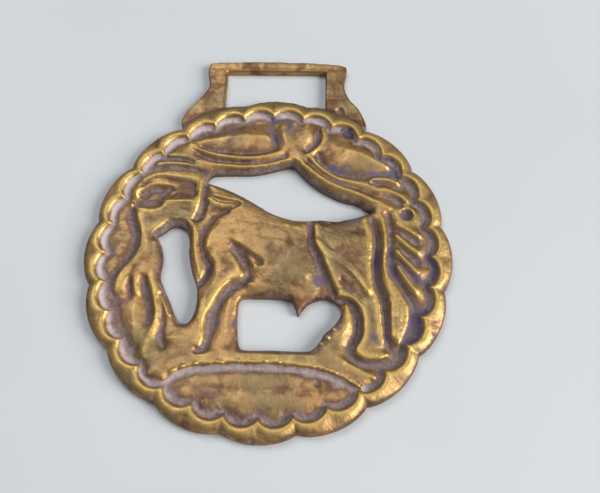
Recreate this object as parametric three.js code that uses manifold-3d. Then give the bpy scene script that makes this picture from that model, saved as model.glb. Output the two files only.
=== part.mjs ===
// A cast horse brass: a lobed disc with a scalloped rim, a bull in openwork relief inside a wreath, and a
// slotted hanger for the strap. Millimetres, back face on z = 0, relief facing +Z, hanger towards +Y.
// The relief is a height field. Named form lines carry heights, a relaxed membrane spans them, and the
// solid is that surface cut to the outline and the openings.
import * as THREE from "three";
import * as BufferGeometryUtils from "three/addons/utils/BufferGeometryUtils.js";
import Module from "manifold-3d";

const wasm = await Module();
wasm.setup();

// Driving dimensions
const LOBES = 16; // round lobes of the outer edge
const LOBE_NOTCH = 36.1; // radius at the notch between two lobes
const LOBE_RISE = 1.35; // how far a lobe's crown stands out past the notches
const SCALLOPS = 32; // scooped hollows round the inside of the rim
const SCALLOP_CUSP = 33.1; // radius at the cusp between two scallops
const SCALLOP_RISE = 1.9; // how far a scallop bites into the rim past its cusps
const FIELD_RADIUS = 32.2; // foot of the rim's inner wall
const FIELD_HEIGHT = 1.5; // floor of the field
const RIM_HEIGHT = 2.9; // crest of the rim
const RIM_CREST = 0.6; // distance from a scallop's edge out to the rim's crest
const RIM_FALL = 0.8; // drop from the crest to the outer edge
const HANGER_HEIGHT = 1.9; // thickness of the strap hanger
const HANGER_FOOT = 24; // the hanger's plate starts above this Y
const SWELL = 0.1; // how strongly the membrane bulges between its lines, per millimetre
const WEAR = 0.28; // radius of the softening left by wear
const FIELD_SIZE = 90; // side of the square that the height field covers
const FIELD_CENTRE_Y = 5.6; // middle of that square
const FIELD_CELLS = 256; // cells along its side, a power of two
const FLATNESS = 0.17; // largest error allowed when flat cells are merged
const SMOOTHING = 6; // steps between two points of a curved line

// Form lines: points of x, y and the height z there. A closed opening's line is also its outline.
const OPENINGS = {
    above_back: [[-13.6, 16.9, 2.4], [-12.6, 18.8, 2.1], [-9, 19.2, 2.1], [-4, 19.3, 2.1],
        [-1, 19.9, 2.2], [2.5, 20.9, 2.2], [4.4, 21.4, 2.3], [5.6, 20.2, 2.2], [7.5, 18.2, 2.2],
        [10, 16, 2.2], [13, 14.2, 2.2], [16, 12.9, 2.2], [18.5, 12.4, 2.2], [20, 11.2, 2.2],
        [21.6, 10.4, 2.2], [19, 9, 2.6], [16, 8.2, 2.7], [14, 7.7, 2.8], [11, 8, 2.7],
        [7, 7.8, 2.6], [4, 8.2, 2.6], [1, 9.2, 2.6], [-2, 11, 2.7], [-5, 12.8, 2.8],
        [-9, 14.8, 2.8], [-12.4, 16, 2.8]],
    under_neck: [[-20.2, 6.5, 1.7], [-22, 5, 1.7], [-23, 4.2, 2], [-21.9, 2, 2.3], [-21.3, -1, 2.4],
        [-21.5, -4.5, 2.4], [-20.5, -7, 2.3], [-19, -10, 2.2], [-17.6, -13, 2.2], [-16.4, -14.6, 2.2],
        [-14.6, -14.3, 2.3], [-13.5, -11.5, 2.5], [-13.6, -7.5, 2.5], [-14.9, -4, 2.3],
        [-15.9, 0, 2.2], [-16.1, 3, 2.2], [-17, 5.5, 1.9], [-18.4, 6.6, 1.7]],
    under_belly: [[-4.7, -9.2, 2.3], [-1, -8.9, 2.4], [3, -9, 2.4], [5.2, -9.3, 2.4], [6.1, -11, 2.2],
        [6.7, -12.4, 2], [7.6, -11.1, 2.1], [9.2, -9.6, 2.1], [12.4, -8.8, 2.1], [14.6, -10.2, 2.3],
        [15.1, -12.3, 2.4], [13.8, -14.6, 2.3], [12, -16.2, 2.2], [10.9, -18.1, 2.2],
        [9.6, -19.6, 2.3], [7.4, -19.9, 2.4], [2, -19.8, 2.4], [-2.7, -19.9, 2.4],
        [-4.4, -19.3, 2.4], [-5.1, -16, 2.3], [-5.3, -12, 2.3]],
};

const SLOT = [[-11.2, 46], [-11.2, 36.1], [-8.7, 36.5], [-5.9, 36.55], [-3.5, 37.5], [0.5, 37.9],
    [4.6, 37.4], [7.4, 36.4], [9.3, 36.5], [11.3, 36], [11.2, 46]];

const HANGER = [[-20.4, 31.2], [-20.5, 32.8], [-19.5, 35.2], [-17.2, 38.2], [-15.5, 40.9],
    [-15.1, 42.6], [-15.6, 45.4], [-15.5, 47.3], [-14.2, 48.4], [-5, 48.7], [5, 48.6], [12.6, 48.2],
    [15.6, 47.6], [16, 46.3], [15.6, 43.9], [15.5, 41.6], [16.7, 38.6], [18.6, 36.2], [19.8, 33.6],
    [20.3, 31.2], [19, 28.6], [14, 27], [-14, 27], [-19, 28.6]];

// Crests and valleys
const HEAD = {
    poll: [[-14.6, 17, 3.3], [-17.5, 17.3, 3.3], [-20.5, 17.6, 3.2], [-23.5, 18, 3.1],
        [-26, 17, 2.9], [-27.8, 15.8, 2.5]],
    under_horn: [[-27, 15.3, 2.2], [-25.5, 16.4, 2.6], [-24, 17, 2.8], [-21, 16.6, 2.7],
        [-18, 15.8, 2.8], [-16.3, 15.3, 2.9]],
    forehead: [[-21.2, 14, 2.9], [-18, 13.8, 2.9], [-15.4, 13.3, 3.1]],
    brow: [[-21.4, 11.2, 3.4], [-19.5, 11.3, 3.5], [-17.5, 11.4, 3.6], [-15.8, 11.5, 3.6]],
    cheek: [[-22, 9.6, 3.2], [-20, 9.3, 3.2], [-17.5, 9.2, 3.1], [-16, 9, 3.1]],
    jaw: [[-15.4, 8.4, 2.9], [-17.6, 7.8, 2.8], [-20.4, 7.9, 2.8], [-22.2, 6.4, 2.8],
        [-23.8, 5, 2.8]],
    nose: [[-27.2, 9.9, 2.9], [-24.5, 9.5, 3.1], [-22.4, 9.8, 3.3], [-21.7, 11, 3.3]],
    muzzle: [[-26, 8.5, 2.9], [-25.2, 6.5, 2.9], [-24.6, 5, 2.8]],
    nape: [[-14.4, 16.6, 3.4], [-14.5, 14, 3.5], [-14.6, 12, 3.5], [-15.1, 9.8, 3.3], [-16, 8.6, 3]],
    behind_nape: [[-13.4, 16, 2.4], [-13.5, 13, 2.3], [-13.6, 11, 2.3], [-14.1, 9.2, 2.2],
        [-15.2, 7.7, 2.1]],
};

const SHOULDER = {
    neck: [[-12.7, 15, 3.3], [-8, 13, 3.4], [-4, 11, 3.4], [0, 9, 3.3], [4, 7.4, 3.3]],
    neck_muscle: [[-12.8, 12.4, 3.5], [-10, 12, 3.6], [-7.3, 10.8, 3.7]],
    under_muscle: [[-12.9, 10.4, 2.9], [-10.5, 9.6, 3], [-8.6, 9, 3.3]],
    shoulder: [[-7.2, 9.8, 3.7], [-8, 8, 3.7], [-10.2, 5.4, 3.7], [-11.8, 3.4, 3.6], [-12.3, 1, 3.4]],
    chest: [[-12.6, 8.6, 2.7], [-11.6, 7.2, 2.8], [-13, 5.2, 2.6], [-13.4, 3, 2.5], [-13, 0.5, 2.6],
        [-12, -1.8, 2.4], [-11.4, -3.6, 2.2], [-12.2, -5.6, 2.3], [-13.1, -6.8, 2.4]],
    dewlap: [[-15.8, 7, 2.8], [-15, 5, 3], [-14.7, 2, 3], [-14.2, -1, 2.9], [-13.4, -3.5, 2.8],
        [-13, -5, 2.6]],
    elbow_rear: [[-8.4, 0, 3.5], [-7.7, 1.9, 3.7], [-6.4, 2.3, 3.8], [-4.6, 1.2, 3.75],
        [-2.7, -0.5, 3.7], [-1, -2.4, 3.5]],
    elbow: [[-7, 1.2, 3.2], [-5.6, -0.5, 2.9], [-4.2, -2.6, 2.7], [-3.3, -4.2, 2.6]],
    elbow_front: [[-7.9, 0.5, 3.5], [-6.8, -1.2, 3.6], [-5.4, -3.2, 3.6], [-4.6, -4.6, 3.5]],
};

const BARREL = {
    back: [[-6, 7.2, 3.75], [-3, 7, 3.8], [2, 6.2, 3.8], [6.5, 5.6, 3.7]],
    ribs: [[-7, 4.6, 3.8], [-3, 4, 3.95], [3, 3, 3.95], [6.6, 2, 3.8]],
    flank: [[-1.2, -3.1, 3.7], [2, -3.1, 3.85], [5, -3.7, 3.8], [8, -4.8, 3.4]],
    belly: [[-3.5, -6.5, 3], [0, -6.6, 3.1], [4, -6.8, 3.1], [7.5, -7, 2.8]],
    groin: [[9.6, -4.2, 3], [10.4, -6, 2.5], [11.4, -7.8, 2.1]],
};

const HAUNCH = {
    front: [[9.8, 6.6, 3.5], [9.9, 4, 3.6], [10.6, 1.5, 3.8], [11.9, -1.2, 3.8], [13.1, -4, 3.6],
        [14.4, -7, 3.3]],
    crease: [[8.7, 7.6, 2.6], [8.7, 5, 2.7], [9.2, 2, 2.8], [10.3, -1, 2.6], [11.4, -4, 2.4],
        [12.8, -7, 2.3], [13.8, -8.8, 2.2]],
    barrel_end: [[7.6, 6.4, 3.3], [7.7, 4, 3.4], [8, 1, 3.4], [9, -1.8, 3.2], [9.8, -3.6, 3]],
    stifle: [[12.4, 1, 3.85], [14.2, -0.7, 3.95], [16.6, -2.8, 3.9], [18.6, -5, 3.8],
        [20.2, -7.6, 3.6]],
    rump: [[11.5, 5.6, 3.5], [15, 5, 3.6], [19.2, 5.4, 3.4]],
    thigh: [[15, -5.5, 3.2], [17, -8, 3.1], [19, -9.8, 3]],
    rear: [[20, 8.2, 3.1], [20.8, 5.5, 3.4], [21.1, 3, 3.5], [20.9, 0, 3.5], [20.7, -4, 3.5],
        [21.2, -7, 3.4], [22.2, -9.5, 3.2], [22.6, -12, 3.1], [22.9, -15, 3], [23.2, -18, 2.9]],
};

const LEGS = {
    foreleg: [[-11.7, -1, 3.3], [-10.2, -3, 3.3], [-9.6, -5, 3.4], [-11, -8, 3.2], [-12.3, -11, 3.1],
        [-12.8, -14, 3]],
    hoof: [[-18.4, -18, 2.9], [-15.5, -17.8, 3.1], [-12.9, -18, 3]],
    hoof_front: [[-19.6, -14.9, 2.2], [-20, -17, 2.1], [-19, -19.6, 2]],
    far_foreleg: [[-6.8, -9.6, 2.5], [-7.2, -13, 2.6], [-7, -17, 2.6], [-6.4, -19.5, 2.6]],
    between_forelegs: [[-5.6, -7.6, 2.2], [-8.4, -10, 1.9], [-9.6, -13, 1.9], [-9.8, -16, 1.9],
        [-10.8, -19, 2.1]],
    hind_leg: [[20.6, -10, 3.2], [21.4, -13, 3.1], [21.4, -16, 3], [20.8, -19, 3]],
    far_hind_leg: [[16, -10.2, 2.8], [16.6, -13, 2.8], [15.8, -15.6, 2.8], [13.6, -17.6, 2.7],
        [12.4, -19.6, 2.7]],
};

const TAIL = {
    before_tail: [[21.2, 7.8, 1.9], [22.3, 5.5, 1.7], [22.6, 3, 1.6], [22.3, 0, 1.6], [22, -4, 1.6],
        [22.5, -7, 1.6], [23.5, -9.4, 1.6], [23.8, -13, 1.6], [23.9, -17, 1.6], [24.7, -19.8, 1.7]],
    tail: [[23.2, 9.4, 2.8], [23.8, 6, 3], [23.9, 2, 3], [23.6, -2, 3], [24.2, -5, 3],
        [25.4, -8, 3], [26.4, -11, 3], [26.2, -14, 2.9], [25.7, -17, 2.7]],
    tuft_left: [[23.6, -5, 2.8], [24.6, -8.5, 2.8], [24.9, -13, 2.7], [24.8, -17, 2.6]],
    tuft_right: [[25, -5.2, 2.8], [26.9, -8.5, 2.8], [28, -11.4, 2.7], [27.4, -15, 2.6],
        [26.2, -18, 2.5]],
    behind_tail: [[24.6, 9.5, 2], [25, 7, 1.8], [25.2, 4, 1.7], [25, 1, 1.6], [25.2, -2, 1.6],
        [26.3, -5, 1.6], [27.9, -7.8, 1.6], [29.2, -10.2, 1.6], [29, -13, 1.6], [28.4, -16, 1.6],
        [27, -18.6, 1.6], [25.4, -20.7, 1.7], [22.5, -22.4, 1.7], [19, -22.4, 1.7],
        [17, -20.8, 1.7], [16.6, -18.8, 1.8], [18.2, -16.5, 1.7], [18.4, -13, 1.7],
        [17.4, -10.6, 1.9]],
};

const WREATH_LEFT = {
    leaf_top: [[-17.8, 26.6, 2.2], [-14, 28.4, 2.1], [-9, 30.4, 2.1], [-4, 31.4, 2.1],
        [-0.3, 31.2, 2.2]],
    leaf: [[-16.6, 26.4, 2.6], [-13, 26.8, 3], [-8, 27.6, 3.2], [-3, 27.8, 3.2], [-0.9, 27.6, 3.1]],
    leaf_foot: [[-15.4, 25, 2.4], [-12, 24.1, 2.5], [-8, 23.7, 2.5], [-3, 23.8, 2.5],
        [0.2, 24.6, 2.5]],
    leaf_end: [[0.3, 31.2, 2.3], [0.1, 29, 2.3], [0.4, 27, 2.3], [0.9, 24.8, 2.4]],
    upper_stem: [[-17.8, 26, 2.7], [-15, 24.1, 3], [-11, 22.9, 3.1], [-6, 22.3, 3.1],
        [-1, 22.8, 3.1], [2.5, 24.1, 3.2]],
    between_stems: [[-16.2, 23.8, 2.3], [-13, 22.1, 2.4], [-9, 21.4, 2.4], [-4, 21.2, 2.4],
        [0, 21.9, 2.5], [3, 22.9, 2.6]],
    lower_stem: [[-15.5, 22, 2.6], [-12, 20.9, 2.8], [-8, 20.4, 2.9], [-4, 20.4, 2.9], [0, 21, 2.9],
        [4, 22.2, 3]],
    upper_vein: [[-24.4, 22.6, 2.2], [-21.5, 23.2, 2.5], [-18.5, 22.8, 2.6], [-16.4, 22.4, 2.5]],
    lower_vein: [[-24.6, 21, 2.2], [-21, 21.5, 2.4], [-17.5, 21, 2.5], [-14.8, 19.9, 2.4]],
    between_veins: [[-24.8, 21.8, 2], [-21, 22.3, 2], [-17, 21.7, 2.1]],
};

const KNOT = {
    left_lobe: [[2.2, 30.6, 3], [2.6, 28, 3.4], [3.4, 25.8, 3.4], [4.4, 24, 3.2]],
    right_lobe: [[7.4, 31, 3], [7.7, 28.6, 3.4], [7.2, 26.4, 3.4], [6.2, 24.4, 3.2]],
    between_lobes: [[4.9, 31.4, 2.9], [5.1, 29, 3.2], [5.1, 26.6, 3.3]],
    edge: [[10, 30.6, 2.3], [9.8, 28, 2.4], [9, 25.8, 2.5], [7.6, 24.3, 2.6]],
    bract: [[10.9, 30.2, 2.8], [11.3, 28.2, 3.2], [10.9, 26.2, 3.2], [9.5, 24.4, 3.2],
        [7.8, 23.2, 3.2]],
};

const WREATH_RIGHT = {
    lower_stem: [[5.4, 22.4, 3.1], [8, 20.1, 3.1], [10.8, 17.8, 3.1], [13.8, 16, 3.1],
        [17, 14.8, 3], [20, 13.4, 3], [23, 12, 2.9], [25, 10.8, 2.8]],
    between_stems: [[7.6, 21.8, 2.7], [9.8, 19.5, 2.6], [12.4, 17.6, 2.6], [15.5, 16.1, 2.6],
        [19, 15, 2.6], [22.5, 13.6, 2.5]],
    upper_stem: [[8.6, 22.5, 3.1], [10.3, 20.6, 3], [12.7, 18.5, 3], [15.7, 17.2, 2.9],
        [19, 16.6, 2.9], [22, 15.9, 2.9]],
    under_leaf: [[9.9, 23.6, 2.2], [11, 21.4, 2.1], [13, 19.9, 2], [16, 19, 2], [19.5, 18.6, 2],
        [22.5, 18.9, 2.1], [25.5, 19, 2]],
    leaf_top: [[11.6, 29.4, 2.2], [14, 29.4, 2], [17.8, 28.8, 2], [20.6, 27.4, 2], [23, 25, 1.9],
        [25, 22.4, 1.9], [26.4, 20.4, 1.9]],
    leaf: [[12, 25, 2.9], [14.5, 24.9, 3.2], [18, 24, 3.3], [21.5, 22.6, 3.1], [24.6, 20.9, 2.6]],
    small_leaf: [[21, 17.6, 2.7], [24, 17.7, 2.8], [26.8, 16.9, 2.6]],
    small_leaf_foot: [[21.4, 16.6, 2.3], [24.4, 16.6, 2.3], [27, 15.4, 2.1]],
    vein: [[22, 15.1, 2.9], [24.4, 15.1, 3], [27, 14, 2.8], [28.8, 12.6, 2.5]],
    under_vein: [[23.6, 13.6, 2.4], [26, 12.9, 2.2], [27.6, 12, 2]],
};

// The spray behind the tail: four leaflets and the gaps under them, slanting out from the tail.
const SPRAY = {
    leaflet_1: [[26.3, 7.4, 2.7], [28.5, 6, 2.8], [30.8, 4.6, 2.6]],
    gap_1: [[26.3, 6, 2.2], [28.6, 4.4, 2.1], [30.6, 3, 1.9]],
    leaflet_2: [[26.2, 4.8, 2.7], [28.4, 2.6, 2.8], [30.6, 0.8, 2.6]],
    gap_2: [[26, 3, 2.2], [28.2, 0.6, 2.1], [30.4, -1.2, 1.8]],
    leaflet_3: [[26, 1.6, 2.7], [28, -1, 2.8], [30.2, -3.4, 2.6]],
    gap_3: [[26.2, -0.4, 2.1], [28, -3, 2], [29.8, -5.2, 1.8]],
    leaflet_4: [[26.4, -2, 2.6], [28, -4.8, 2.7], [29.8, -7.6, 2.5]],
};

const PLANT = {
    stalk: [[-24.9, 4, 2.8], [-24.6, 1, 3], [-24.6, -2, 3.1], [-24.6, -4.4, 3.1]],
    right_stalk: [[-22.9, 2.6, 2.8], [-22.3, -1, 2.9], [-22.6, -4, 2.9], [-21.6, -7.4, 2.9],
        [-20, -10.6, 2.8], [-18.6, -13.3, 2.7]],
    left_lobe: [[-26.2, -2.6, 3], [-28, -5, 2.9], [-28.9, -7.6, 2.6]],
    middle_lobe: [[-25.6, -4, 3.1], [-26, -6.4, 2.9], [-25.6, -8.8, 2.6]],
    between_lobes: [[-27.2, -5.8, 2.5], [-27.1, -7.6, 2], [-26.7, -9.4, 1.9]],
    cleft: [[-24.5, -5.6, 2.3], [-23.6, -8, 1.8], [-22.6, -11, 1.7], [-22.1, -13, 1.6],
        [-22.6, -15, 1.9]],
    blade: [[-23.3, -5.4, 2.9], [-22.2, -8.6, 2.9], [-21.2, -12, 2.9], [-21.2, -15, 2.9],
        [-21.8, -18, 2.9], [-22.6, -20.4, 2.8], [-22.4, -22.4, 2.5]],
    blade_foot: [[-20.8, -9, 2.5], [-19.9, -12, 2.4], [-19.8, -14.2, 2.2]],
    bud: [[-25.6, -10.6, 2.4], [-25.7, -13, 2.5], [-25.2, -16, 2.4], [-24.8, -18.6, 2.3]],
    bud_foot: [[-29.4, -9.6, 1.8], [-28.6, -13.4, 1.7], [-27, -17.4, 1.7], [-24.8, -20.4, 1.8]],
};

const GROUND = {
    turf: [[-21.8, -25.2, 2.3], [-19.4, -23.7, 2.7], [-17, -22.2, 2.6], [-12.5, -21, 2.8],
        [-5, -20.9, 2.8], [2, -20.8, 2.8], [9, -20.9, 2.8], [14, -21.2, 2.8], [18, -23, 2.7],
        [21.6, -24.9, 2.4]],
    panel: [[-15, -27, 1.95], [-8, -27.4, 2.15], [0, -27.6, 2.2], [8, -27.4, 2.15], [15, -27.4, 1.95]],
};

// Steps: the form is on the left of the line at its own height, and its foot lies `width` to the right.
const STEPS = [
    { // back of the near foreleg, from the hoof up to the elbow
        foot: 1.9,
        width: 1.2,
        line: [[-12.2, -19.3, 2.9], [-11.8, -17.5, 3], [-12, -15.5, 3], [-11.7, -13, 3.1],
            [-10.6, -11, 3.3], [-9.2, -8.2, 3.4], [-7.2, -6.1, 3.5], [-4.7, -5.2, 3.5]],
    },
    { // top of the head, from the nape to the horn's tip
        foot: 2.0,
        width: 0.6,
        line: [[-13.9, 17.3, 3], [-15.5, 18.5, 3], [-19, 18.8, 3], [-23, 18.8, 2.9],
            [-26.4, 17.8, 2.7], [-28.4, 16, 2.3]],
    },
    { // the hollow between horn and nose, sunk inside its line
        foot: 2.9,
        width: 0.6,
        line: [[-27.6, 10.7, 1.8], [-25, 10.4, 1.8], [-22.8, 10.6, 1.8], [-22, 11.4, 1.8],
            [-22.2, 12.6, 1.8], [-21.8, 14.2, 1.8], [-23.2, 15, 1.8], [-25.4, 15.2, 1.8],
            [-27.2, 14.2, 1.8]],
    },
    { // muzzle and the plant's stalk below it
        foot: 1.6,
        width: 0.8,
        line: [[-27.6, 10.2, 2.7], [-27.3, 8.4, 2.7], [-26.6, 6.4, 2.7], [-26, 4.4, 2.7],
            [-25.9, 2, 2.7], [-26.4, 0, 2.7], [-27.4, -2, 2.7], [-28.9, -4, 2.7],
            [-29.8, -6, 2.6], [-29.8, -8.4, 2.4]],
    },
    { // near hind leg and its foot
        foot: 1.75,
        width: 0.8,
        line: [[14.6, -8.7, 3.1], [16.8, -9, 3.1], [18.4, -10.2, 3.1], [19.3, -12.3, 3],
            [19.7, -14.6, 3], [19.4, -17, 3], [18.4, -18.9, 2.9], [18.1, -20, 2.8],
            [19.5, -21, 2.8], [22, -21.2, 2.8], [24, -20.4, 2.8]],
    },
    { // upper edge of the sunk panel
        foot: 1.75,
        width: 0.9,
        line: [[-18.7, -26, 2.4], [-16, -24, 2.6], [-12.5, -23, 2.7], [-7, -22.5, 2.7],
            [0, -22.3, 2.7], [8, -22.8, 2.7], [13, -23.8, 2.6], [17, -25.6, 2.5], [19.2, -27, 2.3]],
    },
];

// Round pits left by the casting: x, y, radius, depth
const PITS = [[16.3, 29.3, 1.5, 1.2], [28.5, 9.5, 1.5, 1.0], [14.6, 35.2, 1.1, 0.25]];

// A smooth line through the points, height included.
function smooth(points, closed) {
    const vectors = points.map(([x, y, z = 0]) => new THREE.Vector3(x, y, z));
    const curve = new THREE.CatmullRomCurve3(vectors, closed, "catmullrom", 0.5);
    const steps = SMOOTHING * (closed ? points.length : points.length - 1);
    const line = Array.from({ length: steps }, (_, i) => curve.getPoint(i / steps));
    line.push(curve.getPoint(1));
    return line;
}

// Position within one of `count` equal arcs round the disc, from -1 to 1; 0 is the arc's middle.
function withinArc(x, y, count, turn) {
    const arc = (Math.atan2(y, x) / (2 * Math.PI)) * count + turn;
    return 2 * (arc - Math.floor(arc)) - 1;
}

// Radius of the lobed outer edge in the direction of x, y.
function lobeRadius(x, y) {
    const u = withinArc(x, y, LOBES, 0.5);
    return LOBE_NOTCH + LOBE_RISE * (1 - u * u) ** 0.8;
}

// Radius of the scalloped inner edge of the rim.
function scallopRadius(x, y) {
    const v = withinArc(x, y, SCALLOPS, 0);
    return SCALLOP_CUSP + SCALLOP_RISE * (1 - v * v) ** 0.7;
}

// Height of the rim, from its inner wall over the crest to the outer edge.
function rimHeight(x, y) {
    const r = Math.hypot(x, y);
    const inner = scallopRadius(x, y);
    if (r < inner) {
        const climb = THREE.MathUtils.clamp((r - FIELD_RADIUS) / (inner - FIELD_RADIUS), 0, 1);
        return FIELD_HEIGHT + (RIM_HEIGHT - FIELD_HEIGHT) * climb ** 0.8;
    }
    const crest = inner + RIM_CREST;
    const fall = THREE.MathUtils.clamp((r - crest) / (lobeRadius(x, y) - crest), 0, 1);
    return RIM_HEIGHT - RIM_FALL * fall ** 1.6;
}

// A square height field.
const SIDE = FIELD_CELLS + 1;
const CELL = FIELD_SIZE / FIELD_CELLS;
const columnX = (i) => (i - FIELD_CELLS / 2) * CELL;
const rowY = (j) => (j - FIELD_CELLS / 2) * CELL + FIELD_CENTRE_Y;

// Calls visit(index, distance, side, height) for each cell within `reach` of the line; side is 1 on its
// left, and height is the line's own height at its nearest point.
function nearLine(line, reach, visit) {
    const nearest = new Map();
    for (let k = 0; k + 1 < line.length; k++) {
        const a = line[k];
        const run = new THREE.Vector3().subVectors(line[k + 1], a);
        const length2 = run.x * run.x + run.y * run.y;
        if (length2 === 0) continue;
        const low = new THREE.Vector2(Math.min(0, run.x) - reach, Math.min(0, run.y) - reach).add(a);
        const high = new THREE.Vector2(Math.max(0, run.x) + reach, Math.max(0, run.y) + reach).add(a);
        const i0 = Math.max(0, Math.ceil(low.x / CELL + FIELD_CELLS / 2));
        const i1 = Math.min(FIELD_CELLS, Math.floor(high.x / CELL + FIELD_CELLS / 2));
        const j0 = Math.max(0, Math.ceil((low.y - FIELD_CENTRE_Y) / CELL + FIELD_CELLS / 2));
        const j1 = Math.min(FIELD_CELLS, Math.floor((high.y - FIELD_CENTRE_Y) / CELL + FIELD_CELLS / 2));
        for (let j = j0; j <= j1; j++) {
            for (let i = i0; i <= i1; i++) {
                const dx = columnX(i) - a.x;
                const dy = rowY(j) - a.y;
                const t = THREE.MathUtils.clamp((dx * run.x + dy * run.y) / length2, 0, 1);
                const distance = Math.hypot(dx - t * run.x, dy - t * run.y);
                const found = nearest.get(j * SIDE + i);
                if (distance > reach || (found && found.distance <= distance)) continue;
                const side = Math.sign(run.x * dy - run.y * dx);
                nearest.set(j * SIDE + i, { distance, side, height: a.z + t * run.z });
            }
        }
    }
    nearest.forEach(({ distance, side, height }, index) => visit(index, distance, side, height));
}

// Fixed heights: everything from the rim outwards, then the form lines inside the field.
function fixedHeights() {
    const fixed = new Uint8Array(SIDE * SIDE);
    const height = new Float64Array(SIDE * SIDE);
    const inField = new Uint8Array(SIDE * SIDE);
    for (let j = 0; j < SIDE; j++) {
        for (let i = 0; i < SIDE; i++) {
            const x = columnX(i);
            const y = rowY(j);
            const r = Math.hypot(x, y);
            const onHanger = y > HANGER_FOOT && r > lobeRadius(x, y);
            fixed[j * SIDE + i] = r > FIELD_RADIUS ? 1 : 0;
            inField[j * SIDE + i] = r < FIELD_RADIUS - CELL ? 1 : 0;
            height[j * SIDE + i] = onHanger ? HANGER_HEIGHT : rimHeight(x, y);
        }
    }
    const set = (index, z) => {
        if (!inField[index]) return;
        fixed[index] = 1;
        height[index] = z;
    };
    const onLine = CELL * 0.75;
    for (const points of Object.values(OPENINGS)) {
        nearLine(smooth(points, true), onLine, (index, distance, side, z) => set(index, z));
    }
    for (const forms of [HEAD, SHOULDER, BARREL, HAUNCH, LEGS, TAIL, WREATH_LEFT, KNOT, WREATH_RIGHT,
        SPRAY, PLANT, GROUND]) {
        for (const points of Object.values(forms)) {
            nearLine(smooth(points, false), onLine, (index, distance, side, z) => set(index, z));
        }
    }
    for (const { line, foot, width } of STEPS) {
        nearLine(smooth(line, false), width + 2 * CELL, (index, distance, side, z) => {
            if (distance <= onLine) set(index, z);
            else if (side < 0 && Math.abs(distance - width) <= onLine) set(index, foot);
        });
    }
    return { fixed, height };
}

// Spans the fixed heights with a membrane: coarse grids settle the broad shape, finer ones the rest.
function relax(fixed, height) {
    const z = Float64Array.from(height);
    let sum = 0;
    let count = 0;
    fixed.forEach((isFixed, index) => {
        if (isFixed && height[index] > FIELD_HEIGHT) {
            sum += height[index];
            count += 1;
        }
    });
    fixed.forEach((isFixed, index) => {
        if (!isFixed) z[index] = sum / count;
    });
    const push = (SWELL * CELL * CELL) / 4;
    const overRelaxation = 1.85;
    for (let sweep = 0; sweep < 260; sweep++) {
        for (let j = 1; j < FIELD_CELLS; j++) {
            for (let i = 1; i < FIELD_CELLS; i++) {
                const c = j * SIDE + i;
                if (fixed[c]) continue;
                const mean = (z[c - 1] + z[c + 1] + z[c - SIDE] + z[c + SIDE]) / 4 + push;
                z[c] += overRelaxation * (mean - z[c]);
            }
        }
    }
    return z;
}

function sinkPits(z) {
    for (const [px, py, radius, depth] of PITS) {
        for (let j = 0; j < SIDE; j++) {
            for (let i = 0; i < SIDE; i++) {
                const t = Math.min(1, Math.hypot(columnX(i) - px, rowY(j) - py) / radius);
                z[j * SIDE + i] -= depth * (1 - t ** 4) ** 2;
            }
        }
    }
    return z;
}

// Wear: a Gaussian blur, first along the rows, then along the columns.
function wearDown(z) {
    const sigma = WEAR / CELL;
    const span = Math.ceil(3 * sigma);
    const weights = [];
    for (let k = -span; k <= span; k++) weights.push(Math.exp(-0.5 * (k / sigma) ** 2));
    const total = weights.reduce((a, b) => a + b);
    const pass = (source, stepI, stepJ) => source.map((_, c) => {
        const i = c % SIDE;
        const j = Math.floor(c / SIDE);
        let sum = 0;
        weights.forEach((weight, n) => {
            const a = THREE.MathUtils.clamp(i + (n - span) * stepI, 0, FIELD_CELLS);
            const b = THREE.MathUtils.clamp(j + (n - span) * stepJ, 0, FIELD_CELLS);
            sum += weight * source[b * SIDE + a];
        });
        return sum / total;
    });
    return pass(pass(z, 1, 0), 0, 1);
}

// Splits the square into right triangles, finer where the surface bends. A triangle has its long side from
// a to b and its right angle at c; it is halved from c to the middle of a-b while its error is too large.
// Both triangles on a long side share the error kept at its middle, so that neighbours share whole edges.
function adaptiveTriangles(z) {
    const errors = new Float64Array(SIDE * SIDE);
    const at = (x, y) => y * SIDE + x;
    const middle = (ax, ay, bx, by) => at((ax + bx) / 2, (ay + by) / 2);
    const halves = (ax, ay, bx, by, cx, cy, visit) => {
        const mx = (ax + bx) / 2;
        const my = (ay + by) / 2;
        visit(cx, cy, ax, ay, mx, my);
        visit(bx, by, cx, cy, mx, my);
    };
    const both = (visit) => {
        visit(0, 0, FIELD_CELLS, FIELD_CELLS, FIELD_CELLS, 0);
        visit(FIELD_CELLS, FIELD_CELLS, 0, 0, 0, FIELD_CELLS);
    };
    const deepest = 2 * Math.log2(FIELD_CELLS) - 1;
    const atDepth = (depth, visit) => (...corners) => {
        if (depth === 0) visit(...corners);
        else halves(...corners, atDepth(depth - 1, visit));
    };
    for (let depth = deepest; depth >= 0; depth--) {
        both(atDepth(depth, (ax, ay, bx, by, cx, cy) => {
            const m = middle(ax, ay, bx, by);
            const flaw = Math.abs(z[m] - (z[at(ax, ay)] + z[at(bx, by)]) / 2);
            errors[m] = Math.max(errors[m], flaw);
            if (depth === deepest) return;
            errors[m] = Math.max(errors[m], errors[middle(ax, ay, cx, cy)], errors[middle(bx, by, cx, cy)]);
        }));
    }
    const triangles = [];
    const split = (depth) => (ax, ay, bx, by, cx, cy) => {
        if (depth <= deepest && errors[middle(ax, ay, bx, by)] > FLATNESS) {
            halves(ax, ay, bx, by, cx, cy, split(depth + 1));
        } else {
            triangles.push(at(ax, ay), at(cx, cy), at(bx, by));
        }
    };
    both(split(0));
    return triangles;
}

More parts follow.
